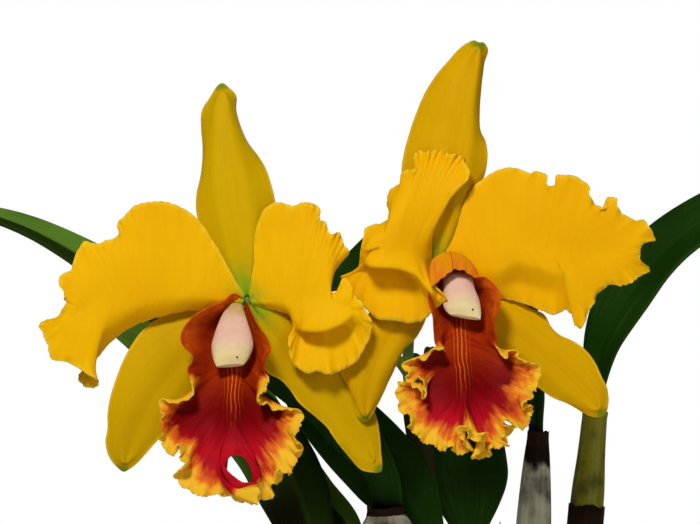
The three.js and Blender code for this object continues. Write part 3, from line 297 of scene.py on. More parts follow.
RIGHT_BLOOM = dict(
  centre=[-1.3, -70, 326.2],
  dorsal_sepal=dict(
    edge=[
      [-2.4, 1.5, -1], [-5.5, 10, -1], [-11, 26, -2], [-13, 38, -3], [-12, 46, -4], [-10, 53, -5],
      [-7.5, 60, -6], [-4, 68, -7], [0, 74, -8], [5, 80, -8], [10, 85.5, -8], [14.5, 88, -7],
      [16.2, 87.2, -7], [18, 87.3, -8], [19.8, 84.5, -9], [18.5, 79, -10], [17.3, 70, -10],
      [16.3, 60, -9], [16.3, 54, -7], [18.5, 49, -5], [19.3, 44, -4], [18.5, 38, -3.5],
      [14, 25, -3], [9, 12, -2], [2.4, 2, -1],
    ],
    tip=12,
    rib=[[0, 1.5, -0.5], [3, 20, 1.5], [8, 45, 1], [12, 65, -1], [15.5, 84, -5]],
  ),
  left_petal=dict(
    edge=[
      [-1.2, 2.4, 1], [-3.5, 14, 3], [-3, 20, 4], [1, 27, 6], [6, 31.5, 8], [12, 35.5, 9],
      [12.7, 38.5, 7], [11, 41.5, 4], [10.5, 43.5, 2], [5, 45, 3], [2, 46.5, 1], [-3, 46, 3],
      [-8, 45, 1], [-7.5, 39, 6], [-10, 39, 4], [-13, 37.5, 3], [-14, 34, 4], [-16.5, 32.3, 3],
      [-19, 29, 3], [-16.5, 23, 2], [-15, 20.5, 5], [-19, 19.3, 6], [-23.5, 18, 7],
      [-27, 16.5, 8], [-27.5, 14, 9], [-28.5, 9, 9],
      [-30, 1, 0, [-24, 9, 12], [-27, 4.5, 8]],
      [-36, -2, -1, [-26.5, 4.5, 11], [-27, 1.5, 4]],
      [-33, -6.5, 0, [-25.5, 2.4, 13], [-26, 3.5, 3]],
      [-29.5, -10.5, 1, [-23.5, 1.8, 14], [-23.5, 3.5, 3]],
      [-23, -17.5, 3, [-20, 1.6, 14.5], [-20.5, 3.2, 3]],
      [-14, -18.7, 4, [-14, 1.2, 14.5], [-14.5, 2, 3]],
      [-10, -19.3, 4, [-10, 0, 14.5], [-10, -1, 3.5]],
      [-5.5, -18.5, 5, [-6.8, -1.5, 14.5], [-6.6, -6, 5.5]],
      [-0.8, -14.4, 7.5, [-3.8, -5.4, 14.5], [-2.8, -10, 8.5]],
      [1.8, -12.2, 10.5, [-1.8, -7, 15], [0, -10, 12]],
      [3.9, -9.8, 15], [0.2, -6.6, 13.5], [-3, -3, 9.5], [-1.8, -1.6, 1],
    ],
    calm=[[-15.5, 21, 4], [-27.5, 12, 9], [-29, 4, 7], [4, -10, 6], [-1, -4, 5]],
    pleated=[[2, 45, 14, 0.8]],
    tip=25,
    rib=[[-1, 0.3, 0.8], [-6, 6, 7], [-12, 9, 11], [-19, 9.5, 13], [-24, 9, 13]],
  ),
  right_petal=dict(
    edge=[
      [1, 2.6, 1], [7, 14, 2], [9.5, 23, 2], [13, 31, 2], [18, 35.5, 3], [24, 39, 3],
      [30, 39.5, 2], [36, 37.5, 3], [38, 38.5, 2], [42.3, 36.5, 3], [42, 33.3, 5],
      [44.8, 33, 4], [45.5, 36.3, 2], [49.5, 37, 3], [54, 35.8, 2], [57.8, 33.2, 3],
      [58, 30, 4], [61, 25.5, 3], [63.5, 24.6, 5], [64.7, 28.2, 2], [68.5, 27.8, 2],
      [69, 24.3, 3], [72, 21.5, 3], [76, 19.7, 2], [79, 20, 1], [81, 17, 2], [83.2, 12, 0],
      [77.6, 11, 4], [76.8, 5, 3], [81.7, 1, 0], [77.5, -1.5, 2], [74, -4, 3], [70, -5, 2],
      [66.5, -4.8, 3], [62, -8, 2], [60, -12, 3], [57.5, -15.5, 2], [55, -21.3, 3],
      [53.3, -20.8, 2],
      [50, -14.6, 0, [49, -1, 5], [50, -8, 3]],
      [47.5, -15.4, -1, [45, 0, 5], [46, -7, 1]],
      [44.5, -16.3, -1, [41, 1, 5], [42.5, -7, 0]],
      [41, -15, -1.5, [37, 2, 4.5], [38.5, -6, -0.5]],
      [33, -12, -2, [30, 3, 4], [31, -4, -1]],
      [25, -10, -2], [14, -7, -1], [2, -2, 0.5],
    ],
    tip=28,
    rib=[[1, 0.3, 0.8], [15, 4, 4], [30, 8, 5], [45, 9, 5], [60, 8, 4], [70, 7, 4]],
  ),
  left_sepal=dict(
    edge=[
      [-2.4, -1, -1.2], [-14, -6, -3], [-24, -14, -4], [-31, -24, -5], [-35, -33, -5],
      [-36, -38, -5], [-33, -44.5, -5], [-31, -50, -5], [-29.7, -55, -5], [-27, -57, -5],
      [-25, -55.5, -5], [-22.8, -50.5, -5], [-19.5, -44, -5], [-16, -37, -5],
      [-12, -29.5, -5], [-8, -25.5, -4], [-4, -18, -3], [-0.6, -2.6, -1.2],
    ],
    tip=9,
    rib=[[-1.4, -1.6, -1], [-11, -14, -2], [-19, -28, -3], [-25, -42, -3], [-27, -55, -4]],
  ),
  right_sepal=dict(
    edge=[
      [2.4, -1, -1.2], [12, -5, -3], [22, -9, -5], [31, -11.5, -6], [36, -14, -6], [41, -16, -6],
      [44, -21, -5], [47, -24, -5], [51.5, -26, -5], [56, -29, -5], [59.5, -33, -5],
      [63, -40, -5], [65, -45, -6], [65.5, -50, -6], [64, -54.8, -6], [60, -55.2, -6],
      [56, -53.5, -6], [50, -50, -5], [44, -47.5, -5], [38, -43, -5], [30, -36, -5],
      [22, -27, -4], [12, -15, -3], [0.6, -2.6, -1.2],
    ],
    tip=14,
    rib=[[1.4, -1.6, -1], [18, -15, -1], [35, -28, -2], [50, -40, -3], [62, -52, -5]],
  ),
  lip=dict(
    edge=[
      [6.5, 1, 13.5, [3.5, 3, 2], [5.4, 7.4, 7]],
      [1.5, -3, 14, [1.4, 2.5, 3], [1, 6.2, 8]],
      [-1.6, -5.6, 14.5, [-0.6, -0.5, 5], [-2.2, 1.8, 11]],
      [-3.2, -8.4, 14], [-3, -11.5, 13], [-1.5, -16, 13],
      [-1, -21, 14], [-0.6, -27, 18], [3, -29.2, 26], [-2, -30, 25], [-5, -31.7, 25],
      [-10.5, -32.5, 25], [-12, -35, 26], [-10.5, -37, 27], [-11, -40.3, 27],
      [-7, -41.7, 29], [-5, -44, 31], [-5.5, -47.3, 33], [-9, -43.5, 30], [-13.5, -40.5, 26],
      [-15.5, -45.5, 26], [-13.2, -48, 28], [-14.3, -51, 27], [-11.5, -54.5, 29],
      [-11, -58.5, 28], [-7.5, -61.8, 29], [-2, -64.6, 29], [1, -66.8, 28], [4, -67.3, 28],
      [6.3, -66.3, 30], [7.5, -68.5, 28], [12, -67.5, 30], [9.5, -60.5, 35],
      [12.5, -58.3, 36], [13, -62.8, 34], [17.5, -60.8, 35], [17, -65.5, 31], [14.8, -70, 29],
      [18, -70.3, 27], [20, -67.3, 29], [26.5, -65.3, 26], [24, -62, 29], [27, -60.5, 27],
      [26, -57.2, 30], [31.5, -60, 26], [34.5, -57, 25], [35.8, -51, 25], [33.5, -50.4, 27],
      [37, -47, 24], [36, -44.5, 26], [38.5, -40.5, 24], [37.6, -33.5, 23], [33, -34, 25],
      [29.5, -30.8, 23], [26.5, -32.3, 24], [24, -30, 22], [22.5, -24, 18], [21.7, -18.5, 15],
      [23.7, -14, 13], [24.3, -9, 12], [23, -6, 11], [18.6, -2.1, 10],
      [14.2, -2, 12.5, [5.5, 0.5, 2], [14, 2, 7]],
      [10.6, 0.5, 13, [4.5, 2, 2], [9.6, 6.4, 6.5]],
      [6.5, 1, 13.5, [3.5, 3, 2], [5.4, 7.4, 7]],
    ],
    pleated=[[6, 0, 11, 0.35]],
    gilded=[[-10, -52, 8, -0.15], [14, -34, 7, 0.12]],
    tip=33,
    rib=[
      [1.2, -2, 0], [6, -8, -1], [8.5, -15, 2], [9, -23, 9], [9.5, -32, 18], [10, -41, 26],
      [10.5, -51, 33],
    ],
  ),
  column=dict(
    line=[[3, 0.2, -0.8], [7.5, -2.6, 5], [8.8, -9, 9], [10.9, -17, 14.2]],
    width=13.7, slant=0.6,
    sizes=[[0, 0.3, 0.3], [0.2, 0.64, 0.6], [0.36, 0.84, 0.9], [0.55, 0.92, 1], [0.75, 1, 0.95],
      [0.9, 0.9, 0.75], [1, 0.74, 0.25]],
  ),
)
BLOOMS = {"left": LEFT_BLOOM, "right": RIGHT_BLOOM}

# The pseudobulbs: foot on the rhizome, top under the leaf, greatest radius, radius of the neck, and
# the share of the length at which the neck begins. Upper gives that end as (share, radius) instead, and
# the skin withers between the shares in withered. The last is the oldest.
BULBS = [
  dict(foot=[-34, 10, 111], top=[-34, 7, 209], radius=10, neck=4.6, shoulder=0.8),
  dict(foot=[-14, -13, 111], top=[-20.2, -22, 234.5], radius=10.5, neck=7, shoulder=0.95,
       withered=(0.97, 1.01)),
  dict(foot=[2, -2, 111], top=[-0.4, 0.5, 213], radius=9.5, neck=6.2, shoulder=0.85),
  dict(foot=[16, 12, 111], top=[12.7, 16, 213], radius=9, neck=4.6, shoulder=0.8),
  dict(foot=[32, 21, 111], top=[39.6, 20, 262], radius=7.2, neck=3.6, shoulder=0.92,
       upper=[(0.77, 6.7), (0.87, 5.9), (0.93, 5.2), (0.97, 4.6), (1, 4)], withered=(0.88, 0.96)),
  dict(foot=[48, 31, 111], top=[62.3, 34, 270], radius=6.8, neck=4.9, shoulder=0.8),
  dict(foot=[-50, -14, 111], top=[-47, -9, 188], radius=10, neck=5, shoulder=0.8),
]

# The leaves, one on each pseudobulb. The line runs from the leaf's foot to its tip along the midrib, face
# is the way the upper side looks at the foot and at the tip, fold is how steeply each half rises from the
# midrib, and foot is a share of the width. Shade is how far one half is darkened by painted shade. Brown is
# how far that half is painted dark brown towards the foot, partly a withered foot and partly painted shade,
# where the other half has the painted shade instead.
LEAVES = [
  dict(  # low on the left, sweeping out behind the left bloom
    line=[[-34, 7, 210], [-35.5, 9.5, 227], [-48, 14, 240.5], [-61.5, 17, 255.5], [-75, 20, 272.5],
      [-86, 22, 289.5], [-102, 25, 305], [-121, 28, 319], [-142, 31, 333], [-164, 34, 344], [-190, 38, 352]],
    shade=0.9, width=36, foot=0.3, face=[[0.57, -0.7, 0.43], [0.48, -0.25, 0.84]], fold=0.22,
  ),
  dict(  # behind the left bloom's right sepal, ending behind its lip
    line=[[-20.5, -22, 235.3], [-23, -28, 246], [-29.6, -33, 256.5], [-38, -35, 266.3],
      [-46.7, -36, 275], [-57, -36, 283], [-70.5, -35, 295], [-82, -33, 308]],
    width=24, foot=0.6, face=[[0.5, 0.75, 0.4], [0.5, 0.75, 0.4]], fold=0.35,
  ),
  dict(  # on the flower's own pseudobulb, leaning left
    line=[[-1.2, -4.2, 214.4], [-5, -10, 227], [-13, -13.5, 241], [-23, -14, 252.5],
      [-34, -13, 264], [-46.5, -9, 277], [-58, -4, 291]],
    width=30, foot=0.34, face=[[0.1, 0.95, -0.1], [-0.2, 0.9, 0.1]], fold=0.2,
  ),
  dict(  # broad and upright behind the right lip
    line=[[12.7, 16, 213.5], [12.2, 17, 236], [9.6, 18, 257], [3.2, 18, 275], [-5, 17, 292]],
    width=33, foot=0.2, face=[[0, -1, 0.1], [0, -1, 0.1]], fold=0.25,
  ),
  dict(  # arching left behind the right bloom
    line=[[39.6, 20, 262.7], [38.4, 19, 277], [28, 17, 304], [10, 16, 330], [-12, 15, 336],
      [-32, 16, 325], [-47.5, 18, 320]],
    width=34, foot=0.2, face=[[-0.6, -0.7, 0.4], [-0.3, -0.5, 0.8]], fold=0.4,
  ),
  dict(  # arching right out beyond the right bloom
    line=[[62.3, 34, 271], [63, 32, 284], [67, 29, 301], [78, 26, 320], [92, 24, 336],
      [109, 25, 348], [130, 28, 358], [150, 31, 364]],
    width=28, foot=0.3, face=[[-0.4, -0.8, 0.4], [-0.64, -0.56, 0.53]], fold=0.3,
  ),
  dict(  # low on the left too, between the first leaf and the flower's own, ending behind the petal
    line=[[-47, -9, 188.9], [-48, -8, 200], [-49.5, -7, 214], [-53, -6, 230], [-60, -5, 246],
      [-68.5, -6, 260], [-81, -7, 273], [-98, -7, 287], [-116, -6, 300.5], [-127, -5, 307]],
    brown=0.95, width=33, foot=0.3, face=[[0.3, -0.9, 0.2], [0.4, -0.6, 0.7]], fold=0.2,
  ),
]

# Their lighter green is partly painted light.
PALE_GREEN_LEAVES = (1, 7)            # the light green ones

# The youngest growth, and the flower stem with its sheath and a pedicel to each bloom.
SHOOT = dict(foot=[24, -18, 104], top=[24, -18, 230])
PEDUNCLE = [[0.3, 2.6, 213.6], [-5.2, 2, 249], [-10.7, 1.4, 284], [-11, 0, 290]]
LEFT_BLOOM["pedicel"] = [[-10.9, 1, 286], [-14.5, -4, 291], [-28, -22, 302], [-46, -42, 311],
  [-62, -57, 315.4]]
RIGHT_BLOOM["pedicel"] = [[-10.9, 1, 286], [-11.5, -8, 296], [-10, -28, 311], [-5, -50, 322]]
SHEATH_BASE = [0.3, 2.6, 213.9]
SHEATH_TOP = [-9.5, 1.5, 276.5]

# Radii of the grown parts, as (share of the length, radius).
SHOOT_RADII = [
    (0, 4.2), (0.08, 5.4), (0.25, 5.2), (0.45, 4.4), (0.62, 5), (0.8, 3.6), (0.94, 1.5), (1, 0.05),
]
PEDUNCLE_RADII = [(0, 2.6), (0.5, 2.5), (1, 2.6)]
PEDICEL_RADII = [(0, 2.2), (0.55, 2.1), (0.9, 2.4), (1, 2.2)]
SHEATH_RADII = [(0, 3.6), (0.4, 4.4), (0.85, 4.8), (1, 4.3)]
RHIZOME_RADII = [(0, 4.6), (0.5, 5), (1, 4.6)]
ROOT_RADII = [(0, 1.9), (0.8, 1.85), (0.97, 1.5), (1, 0.8)]
RECEPTACLE_RADIUS = 3.6
RECEPTACLE_BACK = 3.4            # how far its centre lies behind the bloom's

# The sleeves of dry skin round each pseudobulb, as (from, to, which of its skins): two on its body, by
# shares of its length, and a collar over the leaf's foot, by millimetres below and above its top. The
# fifth and sixth have their own. Gaps are how far a sleeve stands off at its foot, middle and mouth, and
# a tear is how deep its mouth is torn.
LOWER_SLEEVE = (0.02, 0.34, 1)
UPPER_SLEEVE = (0.36, 0.62, 1)
UPPER_SLEEVES = {6: (0.36, 0.775, 2)}
COLLAR = (2, 1.1, 2)
COLLARS = {5: (4, 1.8, 2), 6: (1, 1.1, 0)}
SLEEVE_GAPS = ((0.35, 0.45, 0.7), (0.35, 0.45, 0.7), (0.05, 0.15, 0.25))
SLEEVE_TEARS = (3.5, 0.8, 0.4)

# The rhizome creeps from the oldest pseudobulb to the newest. Roots wander over the bark, and two
# climb over the pot's rim.
RHIZOME = [
  [-53, -18, 109], [-50, -14, 109], [-34, 10, 109], [-14, -13, 109.5], [2, -2, 109],
  [16, 12, 109], [32, 21, 109.5], [48, 31, 109], [51, 33, 109],
]
ROOTS = [
  [[-34, 8, 109], [-42, 24, 109], [-38, 40, 106], [-28, 48, 103]],
  [[-13, -12, 109], [-26, -26, 109], [-30, -40, 107], [-20, -52, 103]],
  [[-11, -12, 109], [-2, -26, 109], [3, -42, 110], [4, -55, 113], [4, -61, 118], [5, -68.7, 121.2],
    [6, -76.4, 116], [6, -76.6, 100], [4, -75.6, 88]],
  [[2, 0, 109], [-4, 20, 109], [-8, 36, 107], [0, 50, 103]],
  [[30, 19, 109], [42, 12, 110], [54, 9, 113], [61, 9, 118], [68.5, 10, 121.2], [76.4, 11, 115],
    [76.6, 12, 98]],
  [[46, 31, 109], [38, 42, 108], [24, 51, 105], [14, 53, 103]],
]

# The pot's outline as (radius, height), from below its middle out, round the rim and back, its drain
# holes, and the bark with its chips and crumbs.
POT_FLOOR = 5
POT_OUTLINE = [
    (0, 0), (48, 0), (50, 2), (67.5, 97), (72, 98), (73, 116), (71, 118), (66.5, 118), (64.5, 116),
    (45, 7), (43, POT_FLOOR), (0, POT_FLOOR),
]
DRAIN_COUNT = 5
DRAIN_RADIUS = 6
DRAIN_CIRCLE = 27                # radius of the ring of drain holes
BARK_FOOT = 5.3                  # height of the bark's underside
BARK_LEVEL = 101                 # top of the bark under its loose top layer
BARK_FOOT_RADIUS = 43.7
BARK_TOP_RADIUS = 59.6
CHIP_COUNT = 24
CHIP_SIZE = (22, 14, 9)
CRUMB_COUNT = 260
CRUMB_SIZE = (9, 6, 4)

# The column's two pieces: name, slot and the stretch of its length. The dark dot on the anther cap sits on
# one ring of its grid, a few steps aside of where that is furthest forward.
COLUMN_PIECES = (("column", "column", 0, 0.7985), ("anther_cap", "anther", 0.8, 1))
COLUMN_AROUND = 48
COLUMN_RINGS = 40
EYE_RING = 26
EYE_STEPS_ASIDE = 3
EYE_RADIUS = 0.4

# The stage, in metres: the point between the blooms that lamps and camera are turned to, and each lamp's
# direction from it and size.
BLOOMS_AT = (-0.034, -0.07, 0.33)
LAMPS = {
    "key": ((-0.22, -0.76, 0.61), 0.36),
    "side": ((0.55, -0.82, 0.1), 0.6),
    "back": ((0.3, 0.88, 0.35), 0.8),
}
LAMP_DISTANCE = 1.6
SENSOR_WIDTH = 36                # of the camera, in its own millimetres

# ---- Curves --------------------------------------------------------------


def run_of(points):
    """Running length along a list of points."""
    steps = np.linalg.norm(np.diff(np.asarray(points, float), axis=0), axis=1)
    return np.concatenate([[0.0], np.cumsum(steps)])


def smooth(knots, rows, at):
    """Rows of numbers at rising knots, read at the places `at` on one smooth curve."""
    knots = np.asarray(knots, float)
    rows = np.asarray(rows, float)
    at = np.asarray(at, float)
    last = len(knots) - 1
    start = np.searchsorted(knots[1:last], at, side="left")
    before = np.maximum(np.arange(last + 1) - 1, 0)
    after = np.minimum(np.arange(last + 1) + 1, last)
    slopes = (rows[after] - rows[before]) / (knots[after] - knots[before])[:, None]
    step = (knots[start + 1] - knots[start])[..., None]
    t = (at - knots[start])[..., None] / step
    return (
        rows[start] * (2 * t**3 - 3 * t**2 + 1)
        + slopes[start] * step * (t**3 - 2 * t**2 + t)
        + rows[start + 1] * (3 * t**2 - 2 * t**3)
        + slopes[start + 1] * step * (t**3 - t**2)
    )


def ease(value, low, high):
    """0 below low, 1 above high, and a smooth rise between them."""
    t = np.clip((value - low) / (high - low), 0, 1)
    return t * t * (3 - 2 * t)


def unit(vectors):
    """Vectors of the same directions and length 1."""
    return vectors / np.maximum(np.linalg.norm(vectors, axis=-1, keepdims=True), 1e-12)


def uneven(turns, count, seed):
    """A wave of about `count` crests over turns from 0 to 1, none quite like the next."""
    drift = 0.9 * np.sin(3 * TAU * turns + seed) + 0.6 * np.sin(7 * TAU * turns + 2.3 * seed)
    swell = 0.75 + 0.25 * np.sin(5 * TAU * turns + 1.7 * seed)
    return swell * np.sin(TAU * count * turns + drift + seed)


# ---- Meshes --------------------------------------------------------------


def moved_grid(surface, layers=None, body=None):
    """A grid made by its operator, with corner (i, j) moved to surface[i, j] and doubles merged.

    Its UV map runs from 0 to 1 both ways. Layers are kept as attributes of the corners, and body
    is each corner's share of the full thickness.
    """
    around, across = surface.shape[0] - 1, surface.shape[1] - 1
    mesh = bmesh.new()
    mesh.loops.layers.uv.new("spread")
    stores = [(mesh.verts.layers.float.new(name), values) for name, values in (layers or {}).items()]
    weights = mesh.verts.layers.deform.verify() if body is not None else None
    bmesh.ops.create_grid(mesh, x_segments=around, y_segments=across, size=0.5, calc_uvs=True)
    for vertex in mesh.verts:
        i = round((vertex.co.x + 0.5) * around)
        j = round((vertex.co.y + 0.5) * across)
        vertex.co = surface[i, j]
        for store, values in stores:
            vertex[store] = values[i, j]
        if weights is not None:
            vertex[weights][0] = body[i, j]
    bmesh.ops.remove_doubles(mesh, verts=mesh.verts, dist=1e-6)
    return mesh


def joined(meshes):
    """One mesh of several, which are freed."""
    whole = meshes[0]
    for other in meshes[1:]:
        held = bpy.data.meshes.new("held")
        other.to_mesh(held)
        whole.from_mesh(held)
        bpy.data.meshes.remove(held)
        other.free()
    return whole


def new_piece(name, mesh, materials, node_name):
    """A smooth object of a finished mesh that rides on the plant and stands for a node."""
    for face in mesh.faces:
        face.smooth = True
    data = bpy.data.meshes.new(name)
    mesh.to_mesh(data)
    mesh.free()
    for material in materials:
        data.materials.append(material)
    piece = bpy.data.objects.new(name, data)
    bpy.context.scene.collection.objects.link(piece)
    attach(piece, "root")
    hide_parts(node_name)
    return piece


def thicken(piece, thickness, thinnest):
    """Gives a sheet its thickness, to both sides; thinnest is its rim's share of that."""
    piece.vertex_groups.new(name="body")
    solid = piece.modifiers.new("Thickness", "SOLIDIFY")
    solid.thickness = thickness
    solid.offset = 0
    solid.vertex_group = "body"
    solid.thickness_vertex_group = thinnest
    solid.material_offset = len(piece.data.materials) - 1


def skin_surface(line, radii, around, rings, relief=None, closed=True):
    """Rings round a line of points, all in millimetres, whose ends draw in to a point.

    Radii lists (share of the length, radius), and relief adds to the radius at a turn and share.
    """
    line = np.asarray(line, float)
    knots = run_of(line)
    shares = np.linspace(0, 1, rings + 1)
    places = smooth(knots, line, shares * knots[-1])
    tangents = unit(np.gradient(places, axis=0))
    side = np.cross(tangents[0], (0, 0, 1) if abs(tangents[0][2]) < 0.9 else (0, 1, 0))
    sides = []
    for tangent in tangents:
        side = unit(side - tangent * side.dot(tangent))
        sides.append(side)
    sides = np.array(sides)
    lifts = np.cross(tangents, sides)
    turns = np.linspace(0, TAU, around + 1)
    radius = smooth([entry[0] for entry in radii], [[entry[1]] for entry in radii], shares)
    radius = np.repeat(radius, around + 1, axis=1)
    if relief:
        radius = radius + relief(turns[None, :], shares[:, None])
    ring = np.cos(turns)[None, :, None] * sides[:, None] + np.sin(turns)[None, :, None] * lifts[:, None]
    surface = places[:, None] + radius[..., None] * ring
    if closed:
        first = np.repeat(places[:1, None], around + 1, axis=1)
        last = np.repeat(places[-1:, None], around + 1, axis=1)
        surface = np.concatenate([first, surface, last])
    return surface.transpose(1, 0, 2) * MM


def skin(line, radii, around, rings, relief=None, withered=UNWITHERED):
    """A closed skin round a line, with its faces outwards, that withers between two shares of its length."""
    surface = skin_surface(line, radii, around, rings, relief)
    shares = (np.arange(surface.shape[1]) - 1) / rings
    dry = np.repeat(ease(shares, *withered)[None], surface.shape[0], axis=0)
    mesh = moved_grid(surface, {"withered": dry})
    bmesh.ops.recalc_face_normals(mesh, faces=mesh.faces)
    return mesh


# ---- Blades of the blooms ------------------------------------------------

# What a blade's grid and margin are like. Cup is how deep the blade is hollowed, and waves are the broad
# folds that the outline has. Frills are the smaller pleats near the margin, scallops its rounded lobes and
# teeth the finest ones. Depths are in millimetres and counts are once round the edge. Crease is how sharply
# a fold turns over, and rim the rim's share of the thickness. With margin_from, the margin is only worked
# where the edge lies lower than that, measured up from the bloom's centre.
SEPAL = dict(around=260, across=12, cup=1, crease=0, wave=0.4, waves=3, frill=0.12, frills=9,
             scallop=0.1, scallops=30, tooth=0, teeth=1, margin_from=None, rim=0.8)
PETAL = dict(around=1000, across=20, cup=0.5, crease=0.75, wave=0.7, waves=9, frill=0.65, frills=34,
             scallop=0.65, scallops=64, tooth=0.35, teeth=190, margin_from=None, rim=0.45)
LIP = dict(around=1050, across=26, cup=-2, crease=0, wave=1.9, waves=16, frill=1.5, frills=46,
           scallop=1.6, scallops=74, tooth=0.9, teeth=210, margin_from=-24, rim=0.5)
LEAF = dict(around=130, across=22, rim=0.35)
VIA_SHARES = (0.42, 0.8)         # where a cross-line's two inner points lie, unless the outline says so
FAN_PLEATS = 90                  # once round the edge, where it is pleated
HOLE_RIM = 12                    # how much further from its rim a calm stretch counts, for its colour


def lobes(turns, count, seed):
    """Rounded lobes from 0 to 1, with sharp notches between them, about `count` of them."""
    drift = 0.8 * np.sin(4 * TAU * turns + seed) + 0.5 * np.sin(9 * TAU * turns + 1.9 * seed)
    swell = 0.62 + 0.38 * np.sin(6 * TAU * turns + 2.7 * seed + np.sin(13 * TAU * turns))
    return swell * np.abs(np.sin(TAU / 2 * (count * turns + drift))) ** 0.7


def cross_lines(outline, form):
    """Points (across, up, forward) of the lines that fan out from the midrib to the edge."""
    around, across = form["around"], form["across"]
    entries = outline["edge"]
    edge = np.array([entry[:3] for entry in entries], float)
    rib = np.array(outline["rib"], float)
    knots, rib_knots = run_of(edge), run_of(rib)
    tip_at = knots[outline["tip"]]

    def foot_at(w):
        return smooth(rib_knots, rib, rib_knots[-1] * (1 - np.abs(2 * w - 1) ** 1.3))

    w = np.linspace(0, 1, around + 1)
    places = np.where(w < 0.5, 2 * w * tip_at, tip_at + (knots[-1] - tip_at) * (2 * w - 1))
    w_of_knots = np.where(
        knots < tip_at, knots / tip_at / 2, 0.5 + (knots - tip_at) / (knots[-1] - tip_at) / 2)
    feet = foot_at(w_of_knots)
    calmer = edge.copy()
    for _ in range(3):
        calmer[1:-1] = (calmer[:-2] + 2 * calmer[1:-1] + calmer[2:]) / 4
    lines = [foot_at(w)]
    for column, t in enumerate(VIA_SHARES, 3):
        vias = feet + (calmer - feet) * t
        vias[:, 2] = feet[:, 2] + (calmer[:, 2] - feet[:, 2]) * t**2 + form["cup"] * 4 * t * (1 - t)
        for i, entry in enumerate(entries):
            if len(entry) > 3:
                vias[i] = entry[column]
        lines.append(smooth(knots, vias, places))
    lines.append(smooth(knots, edge, places))
    s = 1 - (1 - np.linspace(0, 1, across + 1)) ** 1.2
    weights = smooth([0, 1, 2, 3], np.eye(4), 3 * s)
    straight = np.maximum(1 - np.abs(3 * s[:, None] - np.arange(4)), 0)
    folded = form["crease"] * np.interp(places, knots, [len(entry) > 3 for entry in entries])
    weights = weights + folded[:, None, None] * (straight - weights)
    return w[:, None], s[None, :], np.einsum("ijk,kic->ijc", weights, np.array(lines))


def rows_apart(surface):
    """Each point's distance from the midrib along its cross-line."""
    steps = np.linalg.norm(np.diff(surface, axis=1), axis=2)
    return np.concatenate([np.zeros((len(surface), 1)), np.cumsum(steps, axis=1)], axis=1)


def blade_surface(centre, outline, form, seed):
    """A blade's grid of points in metres, with its margin worked, and the layers it carries."""
    w, s, local = cross_lines(outline, form)
    surface = np.array(centre) + local[..., [0, 2, 1]] * (1, -1, 1)
    from_rib = rows_apart(surface)
    inwards = from_rib[:, -1:] - from_rib

    def away(across_at, up_at):
        return np.hypot(local[:, -1:, 0] - across_at, local[:, -1:, 1] - up_at)

    rimmed = np.ones_like(w)
    for across_at, up_at, reach in outline.get("calm", []):
        rimmed = rimmed * ease(away(across_at, up_at), 0.7 * reach, 1.1 * reach)
    front = rimmed
    if form["margin_from"] is not None:
        front = front * ease(-local[:, -1:, 1], -form["margin_from"], 8 - form["margin_from"])
    worked = np.maximum(np.sin(math.pi * w), 0) ** 0.7 * (0.12 + 0.88 * front)

    height = form["wave"] * worked * s**3 * np.sin(TAU * form["waves"] * w)
    finer = uneven(w, 2.3 * form["frills"], seed + 4) * np.exp(-inwards / 2)
    pleats = uneven(w, form["frills"], seed) + 0.45 * finer
    height = height + worked * form["frill"] * pleats * np.exp(-inwards / 3.6) * s**0.5
    for across_at, up_at, reach, depth in outline.get("pleated", []):
        fan = depth * (1 - ease(away(across_at, up_at), 0.5 * reach, reach)) * uneven(w, FAN_PLEATS, seed)
        height = height + fan * np.exp(-inwards / 5) * s
    normals = unit(np.cross(np.gradient(surface, axis=0), np.gradient(surface, axis=1)))
    outwards = unit(surface[:, -1:] - surface[:, -3:-2])
    surface[:, 1:] += (height[..., None] * normals)[:, 1:]
    reach = form["scallop"] * (lobes(w, form["scallops"], seed) - 0.4) * np.exp(-inwards / 1.6)
    reach = reach + form["tooth"] * (lobes(w, form["teeth"], seed + 1) - 0.4) * np.exp(-inwards / 0.5)
    surface[:, 1:] += ((worked * reach)[..., None] * outwards)[:, 1:]

    from_rib = rows_apart(surface)
    rib = surface[:, 0]
    order = np.argsort(rib[:, 2])
    rib_x = np.interp(surface[..., 2], rib[order, 2], rib[order, 0])
    tip = surface[len(surface) // 2, -1]
    front = np.repeat(front, surface.shape[1], axis=1)
    for across_at, up_at, reach, amount in outline.get("gilded", []):
        apart = np.hypot(surface[..., 0] - centre[0] - across_at, surface[..., 2] - centre[2] - up_at)
        front = front + amount * np.exp(-((apart / reach) ** 2))
    layers = {
        "from_rib": from_rib * MM,
        "from_edge": (from_rib[:, -1:] - from_rib) * MM,
        "from_rim": (from_rib[:, -1:] - from_rib + HOLE_RIM * (1 - rimmed)) * MM,
        "from_tip": np.linalg.norm(surface - tip, axis=2) * MM,
        "from_heart": np.linalg.norm(surface - centre, axis=2) * MM,
        "height": (surface[..., 2] - centre[2]) * MM,
        "aside": (surface[..., 0] - rib_x) * MM,
        "front": front,
    }
    return surface * MM, layers


def add_blade(name, side, form, thickness, materials):
    """One sepal, petal or lip, in the place of its node."""
    bloom = BLOOMS[side]
    surface, layers = blade_surface(bloom["centre"], bloom[name], form, seed=len(name) + len(side))
    body = ease(layers["from_edge"], 0, 0.003)
    mesh = moved_grid(surface, layers, body)
    if sum(face.normal.y * face.calc_area() for face in mesh.faces) > 0:
        bmesh.ops.reverse_faces(mesh, faces=mesh.faces)
    node_name = f"{side}_{name}"
    piece = new_piece(f"fine_{node_name}", mesh, materials, node_name)
    thicken(piece, thickness, form["rim"])


def add_blades(settings, kind, names, form, **look):
    """The sepals or the petals of both blooms, each bloom's in its own colour."""
    for side in SIDES:
        finish = blade_material(
            f"{side}_{kind}", getattr(settings, f"{side}_{kind}"), getattr(settings, f"{kind}_shade"),
            settings.petal_rim, settings.green, **look)
        for name in names:
            add_blade(name, side, form, getattr(settings, f"{kind}_thickness"), [finish])


# ---- Materials -----------------------------------------------------------


